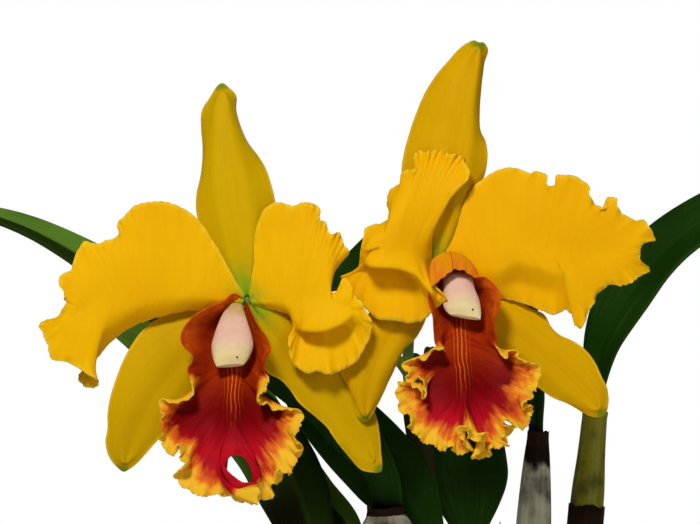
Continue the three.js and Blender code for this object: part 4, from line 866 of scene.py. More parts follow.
def node(tree, kind, inputs=None, **settings):
    """A new shader node; an input is given a link if its value is a socket."""
    made = tree.nodes.new(f"ShaderNode{kind}")
    for name, value in settings.items():
        setattr(made, name, value)
    for name, value in (inputs or {}).items():
        if isinstance(value, bpy.types.NodeSocket):
            tree.links.new(value, made.inputs[name])
        else:
            made.inputs[name].default_value = value
    return made


def attribute(tree, name):
    """The attribute that a mesh carries by this name."""
    return node(tree, "Attribute", attribute_name=name).outputs["Fac"]


def noise(tree, scale, stretch=(1, 1, 1), detail=3, place=None):
    """Noise in the object's own metres, or at another place, stretched by axis."""
    if place is None:
        place = node(tree, "TexCoord").outputs["Object"]
    place = node(tree, "Mapping", {"Vector": place, "Scale": stretch}).outputs[0]
    return node(tree, "TexNoise", {"Vector": place, "Scale": scale, "Detail": detail}).outputs[0]


def streaks(tree, stretch, detail=3):
    """Noise over the piece's own map, with so many streaks along each of its ways."""
    return noise(tree, 1, stretch, detail, place=node(tree, "UVMap", uv_map="spread").outputs[0])


def between(tree, value, low, high):
    """0 where the value is at low, 1 where it is at high, and smooth between them."""
    made = node(tree, "MapRange", {"Value": value, "From Min": low, "From Max": high},
                interpolation_type="SMOOTHSTEP")
    return made.outputs[0]


def combine(tree, operation, first, second=0):
    """One arithmetic step."""
    return node(tree, "Math", {0: first, 1: second}, operation=operation).outputs[0]


def times(tree, first, second):
    """A product."""
    return combine(tree, "MULTIPLY", first, second)


def plus(tree, first, second):
    """A sum."""
    return combine(tree, "ADD", first, second)


def blend(tree, factor, first, second):
    """Two colours mixed by a factor."""
    return node(tree, "Mix", {0: factor, 6: first, 7: second}, data_type="RGBA").outputs[2]


def rgba(settings_colour, strength=1.0):
    """A colour setting as a socket's value."""
    return (*[channel * strength for channel in settings_colour], 1)


def new_material(name, paint, roughness, relief, depth, **shader_values):
    """A material whose colour comes from paint and whose bumps, depth metres high, come from relief.

    Each fills in a node tree. Roughness is (at the relief's lowest, at its highest).
    """
    material = bpy.data.materials.new(name)
    material.use_nodes = True
    tree = material.node_tree
    shader = tree.nodes["Principled BSDF"]
    height = relief(tree)
    tree.links.new(paint(tree), shader.inputs["Base Color"])
    gloss = node(tree, "MapRange", {"Value": height, "To Min": roughness[0], "To Max": roughness[1]})
    tree.links.new(gloss.outputs[0], shader.inputs["Roughness"])
    bump = node(tree, "Bump", {"Height": height, "Distance": depth, "Strength": 1})
    tree.links.new(bump.outputs[0], shader.inputs["Normal"])
    for socket, value in shader_values.items():
        shader.inputs[socket.replace("_", " ")].default_value = value
    return material


# Values of the shader for thin petals, for green skins and for dry ones.
SOFT = dict(Subsurface_Weight=0.25, Subsurface_Radius=(0.002, 0.001, 0.0002), Subsurface_Scale=1.0,
            Specular_IOR_Level=0.03)
SKIN = dict(Subsurface_Weight=0.05, Subsurface_Radius=(0.001, 0.0015, 0.0004), Subsurface_Scale=1.0,
            Specular_IOR_Level=0.2)
DRY = dict(Specular_IOR_Level=0.08)


def veins(stretch):
    """Relief of fine ribs over a blade's own map, and of its cells."""
    def relief(tree):
        ribs = streaks(tree, stretch, 2)
        cells = noise(tree, 700, detail=2)
        return plus(tree, times(tree, ribs, 0.7), times(tree, cells, 0.3))

    return relief


def blade_material(name, base, shade, rim, green, rim_width, claw, stretch, apex=0):
    """Petals and sepals: streaks along the veins, broad patches of painted shade, a paler rim, green at the
    claw and apex.

    The claw is (distance from the bloom's centre where it is all green, where none is left).
    """
    def paint(tree):
        streak = between(tree, streaks(tree, stretch, 4), 0.35, 0.75)
        fresh = blend(tree, times(tree, streak, 0.28), rgba(base), rgba(shade))
        # Broad cloudy patches of painted shade, standing in for the shading of the blade's soft undulations.
        painted_shade_patches = between(tree, noise(tree, 32, detail=2), 0.35, 0.75)
        fresh = blend(tree, times(tree, painted_shade_patches, 0.4), fresh, rgba(shade))
        uneven_edge = times(tree, noise(tree, 260), rim_width)
        reach = plus(tree, attribute(tree, "from_edge"), uneven_edge)
        margin = between(tree, reach, rim_width * 3, rim_width * 0.6)
        fresh = blend(tree, times(tree, margin, 0.75), fresh, rgba(rim))
        ragged = times(tree, streaks(tree, (60, 2, 1)), 0.012)
        heart = plus(tree, attribute(tree, "from_heart"), ragged)
        fresh = blend(tree, between(tree, heart, claw[1], claw[0]), fresh, rgba(green))
        if apex:
            tip = between(tree, attribute(tree, "from_tip"), apex, apex * 0.3)
            fresh = blend(tree, times(tree, tip, 0.8), fresh, rgba(green, 0.6))
        return fresh

    return new_material(name, paint, (0.62, 0.5), veins(stretch), 0.00011, **SOFT)


# Down the lip, in metres from the bloom's centre: where each colour begins to show and where it is full,
# and where the gold lines fade at their lower and upper end.
LIP_BANDS = {
    "lip_throat": (-0.004, -0.022), "lip_heart": (-0.02, -0.038), "lip_blush": (-0.038, -0.054),
}
GOLD_ENDS = ((-0.045, -0.024), (-0.002, -0.01))
GOLD_PITCH = 0.0014


def lip_materials(settings):
    """The lip's inner and outer side.

    Down the lip the colour goes from the orange hood beside the column through a red brown throat
    with thin gold lines to crimson, and then out to an orange and yellow ruffled rim.
    """
    def inside(tree):
        ragged = times(tree, streaks(tree, (46, 3, 1)), 0.01)
        height = plus(tree, attribute(tree, "height"), ragged)
        fleck = between(tree, streaks(tree, (110, 9, 1), 4), 0.4, 0.72)
        inner = between(tree, attribute(tree, "from_edge"), 0.002, 0.011)
        hood = blend(tree, inner, rgba(settings.lip_hood), rgba(settings.lip_throat))
        made = blend(tree, times(tree, fleck, 0.4), hood, rgba(settings.lip_throat))
        for name, (high, low) in LIP_BANDS.items():
            made = blend(tree, between(tree, height, high, low), made, rgba(getattr(settings, name)))
        dark = between(tree, streaks(tree, (70, 2.5, 1), 5), 0.42, 0.68)
        made = blend(tree, times(tree, dark, 0.45), made, rgba(settings.lip_heart))
        # thin gold lines on both sides of the midrib
        bent = plus(tree, attribute(tree, "aside"), times(tree, noise(tree, 70), 0.0022))
        stripes = combine(tree, "SINE", times(tree, bent, TAU / GOLD_PITCH))
        lines = between(tree, stripes, 0.45, 0.95)
        near = between(tree, combine(tree, "ABSOLUTE", attribute(tree, "aside")), 0.0042, 0.0004)
        faded = [between(tree, height, *ends) for ends in GOLD_ENDS]
        gold = times(tree, times(tree, lines, near), times(tree, *faded))
        made = blend(tree, gold, made, rgba(settings.lip_flame))
        # the rim: flame in streaks, then yellow, wider towards the front
        frayed = times(tree, streaks(tree, (64, 3, 1)), 0.015)
        lumpy = times(tree, noise(tree, 80, detail=4), 0.018)
        front = times(tree, attribute(tree, "front"), 0.018)
        reach = plus(tree, attribute(tree, "from_rim"), plus(tree, frayed, lumpy))
        reach = combine(tree, "SUBTRACT", reach, front)
        made = blend(tree, between(tree, reach, 0.011, 0.004), made, rgba(settings.lip_flame))
        return blend(tree, between(tree, reach, 0.0058, 0.0005), made, rgba(settings.lip_rim))

    def outside(tree):
        streak = between(tree, streaks(tree, (60, 2.5, 1), 4), 0.4, 0.7)
        made = blend(tree, streak, rgba(settings.lip_back), rgba(settings.lip_flame))
        front = attribute(tree, "front")
        from_rim = attribute(tree, "from_rim")
        deep = times(tree, between(tree, from_rim, 0.005, 0.012), front)
        made = blend(tree, deep, made, rgba(settings.lip_throat))
        made = blend(tree, between(tree, from_rim, 0.012, 0.02), made, rgba(settings.lip_heart))
        margin = times(tree, between(tree, from_rim, 0.006, 0.002), front)
        return blend(tree, margin, made, rgba(settings.lip_rim))

    relief = veins((160, 5, 1))
    return [
        new_material("lip_inside", inside, (0.6, 0.45), relief, 0.0004, **SOFT),
        new_material("lip_outside", outside, (0.62, 0.5), relief, 0.0003, **SOFT),
    ]


def grain(tree):
    """Fine relief of a smooth plant skin."""
    return noise(tree, 650, detail=4)


def fibres(tree):
    """Relief of long fibres."""
    return streaks(tree, (60, 3, 1), 5)


def skin_material(name, base, shade, relief=grain, depth=0.0003, roughness=(0.35, 0.6), **values):
    """A green or dry skin with long soft streaks, and blotches of a second colour."""
    def paint(tree):
        streak = between(tree, streaks(tree, (14, 1.2, 1), 5), 0.35, 0.7)
        blotch = between(tree, noise(tree, 95, detail=4), 0.42, 0.68)
        both = plus(tree, times(tree, streak, 0.35), times(tree, blotch, 0.65))
        made = blend(tree, both, rgba(base), rgba(shade))
        ragged = times(tree, noise(tree, 90, (1, 1, 0.5), detail=5), 1.6)
        dry = between(tree, plus(tree, attribute(tree, "withered"), ragged), 1.06, 1.4)
        return blend(tree, dry, made, rgba(shade, 0.35))

    return new_material(name, paint, roughness, relief, depth, **(values or SKIN))


def dry_material(name, settings, base, depth, roughness):
    """A dry skin of long fibres with brown stains."""
    return skin_material(name, base, settings.paper_stain, fibres, depth, roughness, **DRY)


def leaf_material(name, settings, base, vein, rib_strength, gloss):
    """A leaf: a lighter midrib and rim, long faint veins, cloudy patches, painted shade over one half and a
    brown foot.
    """
    def paint(tree):
        streak = between(tree, streaks(tree, (2, 60, 1)), 0.35, 0.7)
        cloud = between(tree, noise(tree, 38), 0.4, 0.7)
        patch = times(tree, times(tree, streak, cloud), 0.8)
        made = blend(tree, patch, rgba(base), rgba(settings.leaf_vein))
        rib = between(tree, attribute(tree, "from_rib"), 0.0018, 0.0003)
        made = blend(tree, times(tree, rib, rib_strength), made, rgba(vein))
        margin = between(tree, attribute(tree, "from_edge"), 0.0009, 0.0002)
        made = blend(tree, times(tree, margin, 0.5), made, rgba(vein))
        # Painted shade: the shade layer darkens the colour almost to black.
        made = blend(tree, attribute(tree, "shade"), made, rgba(base, 0.05))
        # The brown layer: the withered foot, and on the seventh leaf a dark brown that is partly painted
        # shade.
        return blend(tree, attribute(tree, "brown"), made, rgba(settings.leaf_foot))

    def relief(tree):
        lines = streaks(tree, (4, 90, 1))
        return plus(tree, times(tree, lines, 0.5), times(tree, noise(tree, 500), 0.5))

    return new_material(name, paint, (0.4, 0.55), relief, 0.0003, Subsurface_Weight=0.05,
                        Subsurface_Radius=(0.001, 0.002, 0.0004), Subsurface_Scale=1.0,
                        Specular_IOR_Level=gloss)


def column_material(name, settings):
    """The column and its cap: greenish tan at the narrow foot, partly its own green and partly painted shade
    under the hood, then pinkish white, cream at the broad end.
    """
    def paint(tree):
        cloud = times(tree, noise(tree, 240), 0.3)
        along = plus(tree, attribute(tree, "along"), cloud)
        pale = between(tree, along, 0.1, 0.55)
        made = blend(tree, pale, rgba(settings.column_foot), rgba(settings.column))
        tip = between(tree, along, 0.7, 1.15)
        made = blend(tree, times(tree, tip, 0.85), made, rgba(settings.anther))
        speck = between(tree, noise(tree, 420), 0.4, 0.7)
        return blend(tree, times(tree, speck, 0.25), made, rgba(settings.anther))

    return new_material(name, paint, (0.4, 0.55), grain, 0.0002, **SOFT)


def clay_material(settings):
    """Terracotta with salts that have dried out on it in bands."""
    def paint(tree):
        cloud = between(tree, noise(tree, 22, (1, 1, 0.6), detail=5), 0.45, 0.75)
        speck = between(tree, noise(tree, 420, detail=2), 0.45, 0.8)
        made = blend(tree, times(tree, cloud, 0.55), rgba(settings.clay), rgba(settings.bloom))
        return blend(tree, times(tree, speck, 0.3), made, rgba(settings.clay, 0.6))

    def relief(tree):
        turning = noise(tree, 160, (0.05, 0.05, 1), detail=2)
        return plus(tree, times(tree, turning, 0.5), times(tree, noise(tree, 700), 0.5))

    return new_material("clay", paint, (0.75, 0.95), relief, 0.0004, **DRY)


def bark_material(settings):
    """Bark chips, each of its own tone, with a dark damp grain; the heap beneath them takes the darkest tone,
    painted shade in the gaps between the chips.
    """
    def paint(tree):
        fibre = between(tree, noise(tree, 300, (1, 1, 0.25), detail=5), 0.35, 0.7)
        made = blend(tree, fibre, rgba(settings.bark), rgba(settings.bark_dark))
        return blend(tree, times(tree, attribute(tree, "tone"), 0.6), made, rgba(settings.bark_dark))

    def relief(tree):
        return noise(tree, 380, (1, 1, 0.3), detail=6)

    return new_material("bark", paint, (0.8, 1), relief, 0.0012, **DRY)


# ---- The plant's other shapes --------------------------------------------


def column_surface(bloom, begin, end, around, rings):
    """A stretch of the column, which is a flattened club whose broad end is slanted."""
    column = bloom["column"]
    line = np.array(column["line"], float)
    sizes = np.array(column["sizes"], float)
    knots = run_of(line)
    shares = begin + (end - begin) * np.linspace(0, 1, rings + 1)
    local = smooth(knots, line, shares * knots[-1])
    places = np.array(bloom["centre"]) + local[:, [0, 2, 1]] * (1, -1, 1)
    ahead = unit((line[-1] - line[0])[[0, 2, 1]] * (1, -1, 1))
    across = unit(np.array([1.0, 0, 0]) - ahead * ahead[0])
    outer = np.cross(across, ahead)
    reach = smooth(sizes[:, 0], sizes, shares)
    turns = np.linspace(0, TAU, around + 1)
    wide = reach[:, 1:2] * column["width"] / 2 * np.cos(turns)
    thick = reach[:, 2:3] * column["width"] / 3.4 * np.sin(turns)
    slant = column["slant"] * wide * shares[:, None] ** 4
    surface = places[:, None] + wide[..., None] * across + thick[..., None] * outer + slant[..., None] * ahead
    ends = [np.repeat(places[k : k + 1, None], around + 1, axis=1) for k in (0, rings)]
    surface = np.concatenate([ends[0], surface, ends[1]])
    along = np.concatenate([[begin], shares, [end]])
    along = np.repeat(along[:, None], around + 1, axis=1)
    return surface.transpose(1, 0, 2) * MM, along.T


def leaf_surface(shape, around, across):
    """A leaf's grid of points, from foot to tip and from margin to margin."""
    line = np.array(shape["line"], float)
    knots = run_of(line)
    u = np.linspace(0, 1, around + 1)
    v = np.linspace(-1, 1, across + 1)
    places = smooth(knots, line, u * knots[-1])
    ahead = smooth(knots, line, np.minimum(u + 0.01, 1) * knots[-1])
    behind = smooth(knots, line, np.maximum(u - 0.01, 0) * knots[-1])
    tangents = unit(ahead - behind)
    faces = unit(np.array(shape["face"], float))
    upper = faces[0] + (faces[1] - faces[0]) * u[:, None]
    sides = unit(np.cross(tangents, upper))
    lifts = np.cross(sides, tangents)
    breadth = shape["foot"] + (1 - shape["foot"]) * ease(u, 0, 0.42)
    breadth = breadth * np.maximum(np.sqrt(np.maximum(1 - np.maximum((u - 0.5) / 0.53, 0) ** 2, 0)), 0.16)
    half = shape["width"] / 2 * breadth
    u, v = u[:, None], v[None, :]
    crease = np.sqrt(v**2 + 0.004) - 0.063
    rise = half[:, None] * shape["fold"] * crease * (1 - 0.35 * u)
    rise = rise + 0.9 * v**2 * np.sin(11 * u + 2 * v) * np.sin(math.pi * u)
    tip_lobes = 4 * (1 - (2 * np.abs(v) - 1) ** 2) * ease(u, 0.9, 1)
    surface = (
        places[:, None]
        + sides[:, None] * (v * half[:, None])[..., None]
        + lifts[:, None] * rise[..., None]
        + tangents[:, None] * tip_lobes[..., None]
    )
    from_rib = np.abs(v) * half[:, None]
    # Painted shade: the shade layer darkens one half of a leaf. On a leaf with brown it darkens the other
    # half near the foot and half darkens the whole blade further out. The brown there is partly a withered
    # foot and partly painted shade.
    shade = np.zeros_like(from_rib) + shape.get("shade", 0) * ease(-v, -0.05, 0.25)
    brown = np.zeros_like(from_rib) + 1 - ease(u, 0, 0.04)
    if "brown" in shape:
        shade = 0.9 * ease(v, 0, 0.3) * (1 - ease(u, 0.4, 0.7)) + 0.5 * ease(u, 0.4, 0.7)
        brown = np.maximum(brown, shape["brown"] * (1 - ease(u, 0.3, 0.6)) * (1 - ease(v, 0.05, 0.35)))
    layers = {
        "from_rib": from_rib * MM,
        "from_edge": (half[:, None] - from_rib) * MM,
        "shade": shade,
        "brown": brown,
    }
    return surface * MM, layers


def ragged_sleeve(line, radii, around, rings, depth, teeth, seed):
    """A torn papery sleeve round a line: open at both ends, its mouth uneven by depth."""
    surface = skin_surface(line, radii, around, rings, closed=False)
    turns = np.linspace(0, 1, around + 1)
    tear = (uneven(turns, teeth, seed) + 0.6 * uneven(turns, teeth * 3, seed + 1)) * depth * MM
    pull = np.linspace(0, 1, rings + 1)[None, :, None] ** 3
    end = np.asarray(line[-1], float) - np.asarray(line[-2], float)
    surface = surface + pull * (tear[:, None, None] * unit(end))
    mesh = moved_grid(surface)
    bmesh.ops.recalc_face_normals(mesh, faces=mesh.faces)
    bmesh.ops.solidify(mesh, geom=mesh.faces, thickness=0.0003)
    return mesh


def between_points(foot, top, low=0, high=1):
    """Seven points on a straight line from one share of its length to another."""
    shares = np.linspace(low, high, 7)[:, None]
    return np.array(foot) + (np.array(top) - np.array(foot)) * shares


def bulb_radii(bulb):
    """A pseudobulb's profile: share of its length, radius."""
    radius, neck, shoulder = bulb["radius"], bulb["neck"], bulb["shoulder"]
    upper = bulb.get("upper") or [
        (shoulder, neck + 0.8 * (radius - neck)),
        ((shoulder + 1) / 2, neck + 0.28 * (radius - neck)),
        (1, neck),
    ]
    return [(0, 0.5 * radius), (0.06, 0.72 * radius), (0.3, 0.96 * radius), (0.6 * shoulder, radius), *upper]


def furrows(depth, count, seed):
    """Relief of shallow lengthwise furrows for a skin."""
    def relief(turns, shares):
        wave = 0.5 * np.cos(count * turns + seed)
        wave = wave + 0.3 * np.cos((2 * count + 1) * turns + 2 * seed + 3 * shares)
        return depth * wave * np.sin(math.pi * np.clip(shares, 0, 1)) ** 0.5

    return relief


def turned_mesh(outline, steps):
    """A closed outline of (radius, height) in millimetres turned round the upright axis."""
    mesh = bmesh.new()
    corners = [mesh.verts.new((radius * MM, 0, height * MM)) for radius, height in outline]
    edges = [mesh.edges.new(pair) for pair in zip(corners, corners[1:])]
    bmesh.ops.spin(mesh, geom=corners + edges, cent=(0, 0, 0), axis=(0, 0, 1),
                   angle=TAU, steps=steps, use_merge=True)
    bmesh.ops.remove_doubles(mesh, verts=mesh.verts, dist=1e-6)
    bmesh.ops.recalc_face_normals(mesh, faces=mesh.faces)
    return mesh


def spot(turn, reach, height):
    """A place in metres, at a turn round the pot's axis."""
    return Vector((reach * math.cos(turn), reach * math.sin(turn), height)) * MM


def toned(mesh, value):
    """A part of the bark with its tone stored on its corners."""
    tone = mesh.verts.layers.float.new("tone")
    for vertex in mesh.verts:
        vertex[tone] = value
    return mesh


def bark_chip(place, sizes, turns, bevel):
    """One chip of bark: a block with worn edges."""
    turned = Euler(turns, "XYZ").to_matrix().to_4x4()
    matrix = Matrix.Translation(place) @ turned @ Matrix.Diagonal((*sizes, 1))
    mesh = bmesh.new()
    bmesh.ops.create_cube(mesh, size=1, matrix=matrix)
    bmesh.ops.bevel(mesh, geom=mesh.edges, offset=bevel, offset_type="OFFSET", affect="EDGES",
                    segments=1, profile=0.5, material=-1)
    return mesh


# ---- Operators -----------------------------------------------------------


class ORCHID_OT_sepals(bpy.types.Operator):
    """The three sepals of each bloom"""

    bl_idname = "orchid.sepals"
    bl_label = "Sepals"

    def execute(self, context):
        names = ("dorsal_sepal", "left_sepal", "right_sepal")
        add_blades(context.scene.orchid_flower, "sepal", names, SEPAL,
                   rim_width=0.0005, claw=(0.005, 0.026), stretch=(3, 14, 1), apex=0.0045)
        return {"FINISHED"}


class ORCHID_OT_petals(bpy.types.Operator):
    """The two broad petals of each bloom, with frilled and toothed margins"""

    bl_idname = "orchid.petals"
    bl_label = "Petals"

    def execute(self, context):
        add_blades(context.scene.orchid_flower, "petal", ("left_petal", "right_petal"), PETAL,
                   rim_width=0.0009, claw=(0.003, 0.018), stretch=(90, 2.5, 1))
        return {"FINISHED"}


class ORCHID_OT_lips(bpy.types.Operator):
    """The lip of each bloom: a hood round the column and a ruffled middle lobe"""

    bl_idname = "orchid.lips"
    bl_label = "Lips"

    def execute(self, context):
        settings = context.scene.orchid_flower
        materials = lip_materials(settings)
        for side in SIDES:
            add_blade("lip", side, LIP, settings.lip_thickness, materials)
        return {"FINISHED"}


class ORCHID_OT_columns(bpy.types.Operator):
    """The column of each bloom and its anther cap"""

    bl_idname = "orchid.columns"
    bl_label = "Columns and anther caps"

    def execute(self, context):
        settings = context.scene.orchid_flower
        finishes = {piece[0]: column_material(piece[0], settings) for piece in COLUMN_PIECES}

        def dark_green(tree):
            return blend(tree, noise(tree, 900), rgba(settings.green, 0.1), rgba(settings.green, 0.3))

        dark = new_material("anther_eye", dark_green, (0.4, 0.6), grain, 0.0001, **SOFT)
        for side in SIDES:
            for name, slot, begin, end in COLUMN_PIECES:
                surface, along = column_surface(BLOOMS[side], begin, end, COLUMN_AROUND, COLUMN_RINGS)
                mesh = moved_grid(surface, {"along": along})
                if name == "anther_cap":
                    mesh = joined([mesh, self.eye(surface[:, EYE_RING])])
                bmesh.ops.recalc_face_normals(mesh, faces=mesh.faces)
                for edge in mesh.edges:
                    edge.smooth = edge.calc_face_angle(0) < 0.9
                new_piece(f"fine_{side}_{name}", mesh, [finishes[name], dark], f"{side}_{name}")
        return {"FINISHED"}

    @staticmethod
    def eye(ring):
        """The dark dot at the front of the anther cap, on one ring of its grid."""
        place = ring[(np.argmin(ring[:, 1]) + EYE_STEPS_ASIDE) % COLUMN_AROUND]
        made = bmesh.new()
        bmesh.ops.create_uvsphere(made, u_segments=16, v_segments=10, radius=EYE_RADIUS * MM,
                                  matrix=Matrix.Translation(place))
        for face in made.faces:
            face.material_index = 1
        return made


class ORCHID_OT_flower_stem(bpy.types.Operator):
    """The flower stem with its two pedicels, and the dry sheath at its foot"""

    bl_idname = "orchid.flower_stem"
    bl_label = "Flower stem and sheath"

    def execute(self, context):
        settings = context.scene.orchid_plant
        green = skin_material("stem", settings.stem, settings.shoot)
        dry = dry_material("sheath", settings, settings.sheath, 0.0005, (0.6, 0.9))
        stems = [skin(PEDUNCLE, PEDUNCLE_RADII, 32, 60, furrows(0.12, 7, 1))]
        for bloom in BLOOMS.values():
            x, y, z = bloom["centre"]
            behind = (x, y + RECEPTACLE_BACK, z)
            stems.append(skin([*bloom["pedicel"], behind], PEDICEL_RADII, 36, 80, furrows(0.22, 6, 2)))
            receptacle = bmesh.new()
            bmesh.ops.create_uvsphere(receptacle, u_segments=32, v_segments=20,
                                      radius=RECEPTACLE_RADIUS * MM,
                                      matrix=Matrix.Translation(Vector(behind) * MM))
            stems.append(receptacle)
        new_piece("fine_flower_stem", joined(stems), [green], "flower_stem")
        line = between_points(SHEATH_BASE, SHEATH_TOP)
        sleeve = ragged_sleeve(line, SHEATH_RADII, 72, 40, depth=2.2, teeth=4, seed=3)
        new_piece("fine_flower_sheath", sleeve, [dry], "flower_sheath")
        return {"FINISHED"}


class ORCHID_OT_leaves(bpy.types.Operator):
    """The seven leathery leaves"""

    bl_idname = "orchid.leaves"
    bl_label = "Leaves"

    def execute(self, context):
        settings = context.scene.orchid_plant
        mature = leaf_material("leaf", settings, settings.leaf, settings.leaf_vein, 0.15, gloss=0.03)
        # A pale green finish for two leaves, partly painted light.
        pale_green = leaf_material("young_leaf", settings, settings.young_leaf, settings.stem, 0.9, gloss=0)
        for k, shape in enumerate(LEAVES, 1):
            surface, layers = leaf_surface(shape, LEAF["around"], LEAF["across"])
            mesh = moved_grid(surface, layers, ease(layers["from_edge"], 0, 0.002))
            finish = pale_green if k in PALE_GREEN_LEAVES else mature
            piece = new_piece(f"fine_leaf_{k}", mesh, [finish], f"leaf_{k}")
            thicken(piece, settings.leaf_thickness, LEAF["rim"])
        return {"FINISHED"}


class ORCHID_OT_pseudobulbs(bpy.types.Operator):
    """The seven pseudobulbs with their papery sleeves"""

    bl_idname = "orchid.pseudobulbs"
    bl_label = "Pseudobulbs"

    def execute(self, context):
        settings = context.scene.orchid_plant
        green = skin_material("bulb_green", settings.bulb, settings.bulb_shade, depth=0.0004)
        silver = dry_material("bulb_silver", settings, settings.paper, 0.0005, (0.55, 0.85))
        brown = dry_material("bulb_old", settings, settings.old_bulb, 0.0006, (0.6, 0.9))
        skins = {2: (silver, "bulb_silver"), 5: (silver, "bulb_silver"), 7: (brown, "bulb_old")}
        for k, bulb in enumerate(BULBS, 1):
            finish, slot = skins.get(k, (green, "bulb_green"))
            radii = bulb_radii(bulb)
            body = skin(between_points(bulb["foot"], bulb["top"]), radii, 48, 80, furrows(0.45, 9, k),
                        bulb.get("withered", UNWITHERED))
            parts = [body]
            tall = math.dist(bulb["foot"], bulb["top"])
            below, above, collar_skin = COLLARS.get(k, COLLAR)
            collar = (1 - below / tall, 1 + above / tall, collar_skin)
            sleeves = (LOWER_SLEEVE, UPPER_SLEEVES.get(k, UPPER_SLEEVE), collar)
            for i, (low, high, sleeve_skin) in enumerate(sleeves):
                line = between_points(bulb["foot"], bulb["top"], low, high)
                at = np.minimum([low, (low + high) / 2, high], 1)
                bare = smooth([entry[0] for entry in radii], [[entry[1]] for entry in radii], at)
                reaches = [(step / 2, bare[step][0] + SLEEVE_GAPS[i][step]) for step in range(3)]
                sleeve = ragged_sleeve(line, reaches, 60, 12, SLEEVE_TEARS[i], teeth=3, seed=9 * i + k)
                for face in sleeve.faces:
                    face.material_index = sleeve_skin
                parts.append(sleeve)
            new_piece(f"fine_pseudobulb_{k}", joined(parts), [finish, silver, brown], f"pseudobulb_{k}")
        return {"FINISHED"}


class ORCHID_OT_young_shoot(bpy.types.Operator):
    """The youngest growth, a folded spear"""

    bl_idname = "orchid.young_shoot"
    bl_label = "Young shoot"

    def execute(self, context):
        settings = context.scene.orchid_plant
        fresh = skin_material("shoot", settings.shoot, settings.young_leaf)

        def folds(turns, shares):
            seam = np.exp(-((np.mod(turns + 2.2 * shares, TAU) - 2.5) / 0.22) ** 2)
            return -0.5 * seam * np.minimum(1, 6 * (1 - shares))

        mesh = skin(between_points(SHOOT["foot"], SHOOT["top"]), SHOOT_RADII, 48, 120, folds)
        new_piece("fine_young_shoot", mesh, [fresh], "young_shoot")
        return {"FINISHED"}


class ORCHID_OT_rhizome(bpy.types.Operator):
    """The rhizome and its roots"""

    bl_idname = "orchid.rhizome"
    bl_label = "Rhizome and roots"

    def execute(self, context):
        settings = context.scene.orchid_plant
        velvet = dry_material("root", settings, settings.root, 0.0004, (0.7, 0.95))

        def rings(turns, shares):
            return 0.35 * np.abs(np.sin(34 * math.pi * shares)) + 0.15 * np.sin(3 * turns + 20 * shares) - 0.3

        parts = [skin(RHIZOME, RHIZOME_RADII, 32, 180, rings)]
        parts += [skin(line, ROOT_RADII, 16, 90, furrows(0.15, 3, k)) for k, line in enumerate(ROOTS)]
        new_piece("fine_rhizome", joined(parts), [velvet], "rhizome")
        return {"FINISHED"}


class ORCHID_OT_bark(bpy.types.Operator):
    """The heap of bark chips in the pot"""

    bl_idname = "orchid.bark"
    bl_label = "Bark"

    def execute(self, context):
        material = bark_material(context.scene.orchid_pot)
        outline = [
            (0, BARK_FOOT), (BARK_FOOT_RADIUS, BARK_FOOT), (BARK_TOP_RADIUS, BARK_LEVEL - 3),
            (0, BARK_LEVEL - 1),
        ]
        # The heap under the chips gets the darkest tone: painted shade in the gaps between them.
        parts = [toned(turned_mesh(outline, 64), 1)]
        state = [7]

        def chance():
            state[0] = (state[0] * 1664525 + 1013904223) % 2**32
            return state[0] / 2**32

        for k in range(CHIP_COUNT):
            reach = (BARK_TOP_RADIUS - 12) * math.sqrt((k + 0.5) / CHIP_COUNT)
            turn = 2.4 * k + chance()
            sizes = [size * (0.7 + 0.45 * chance()) * MM for size in CHIP_SIZE]
            turns = (0.9 * (chance() - 0.5), 0.9 * (chance() - 0.5), 6.3 * chance())
            place = spot(turn, reach, BARK_LEVEL + 2 * chance())
            parts.append(toned(bark_chip(place, sizes, turns, bevel=0.0009), k % 5 / 5))
        pick = random.Random(11)
        for _ in range(CRUMB_COUNT):
            reach = (BARK_TOP_RADIUS - 5) * math.sqrt(pick.random())
            turn = TAU * pick.random()
            place = spot(turn, reach, BARK_LEVEL - 2 + 3.5 * pick.random())
            size = 0.6 + 0.7 * pick.random()
            sizes = [size * axis * MM for axis in CRUMB_SIZE]
            turns = [pick.uniform(-0.6, 0.6), pick.uniform(-0.6, 0.6), pick.uniform(0, 6.3)]
            parts.append(toned(bark_chip(place, sizes, turns, bevel=0.0005), pick.random()))
        new_piece("fine_bark", joined(parts), [material], "bark")
        return {"FINISHED"}


class ORCHID_OT_pot(bpy.types.Operator):
    """The clay pot with its five drain holes"""

    bl_idname = "orchid.pot"
    bl_label = "Pot"

    def execute(self, context):
        material = clay_material(context.scene.orchid_pot)
        mesh = turned_mesh(POT_OUTLINE, 128)
        bevelled = [edge for edge in mesh.edges if edge.is_manifold and edge.calc_face_angle(0) > 0.6]
        bmesh.ops.bevel(mesh, geom=bevelled, offset=0.0006, offset_type="OFFSET", affect="EDGES",
                        segments=3, profile=0.5, material=-1)
        pot = new_piece("fine_pot", mesh, [material], "pot")
        cutter = bmesh.new()
        for k in range(DRAIN_COUNT):
            place = spot(TAU * k / DRAIN_COUNT, DRAIN_CIRCLE, POT_FLOOR / 2)
            bmesh.ops.create_cone(cutter, cap_ends=True, segments=32, radius1=DRAIN_RADIUS * MM,
                                  radius2=DRAIN_RADIUS * MM, depth=12 * MM,
                                  matrix=Matrix.Translation(place))
        data = bpy.data.meshes.new("drain")
        cutter.to_mesh(data)
        cutter.free()
        drain = bpy.data.objects.new("drain", data)
        context.scene.collection.objects.link(drain)
        cut = pot.modifiers.new("Drain", "BOOLEAN")
        cut.object = drain
        cut.solver = "EXACT"
        context.view_layer.update()
        whole = bpy.data.meshes.new_from_object(pot.evaluated_get(context.evaluated_depsgraph_get()))
        pot.modifiers.remove(cut)
        bpy.data.objects.remove(drain)
        pot.data = whole
        return {"FINISHED"}


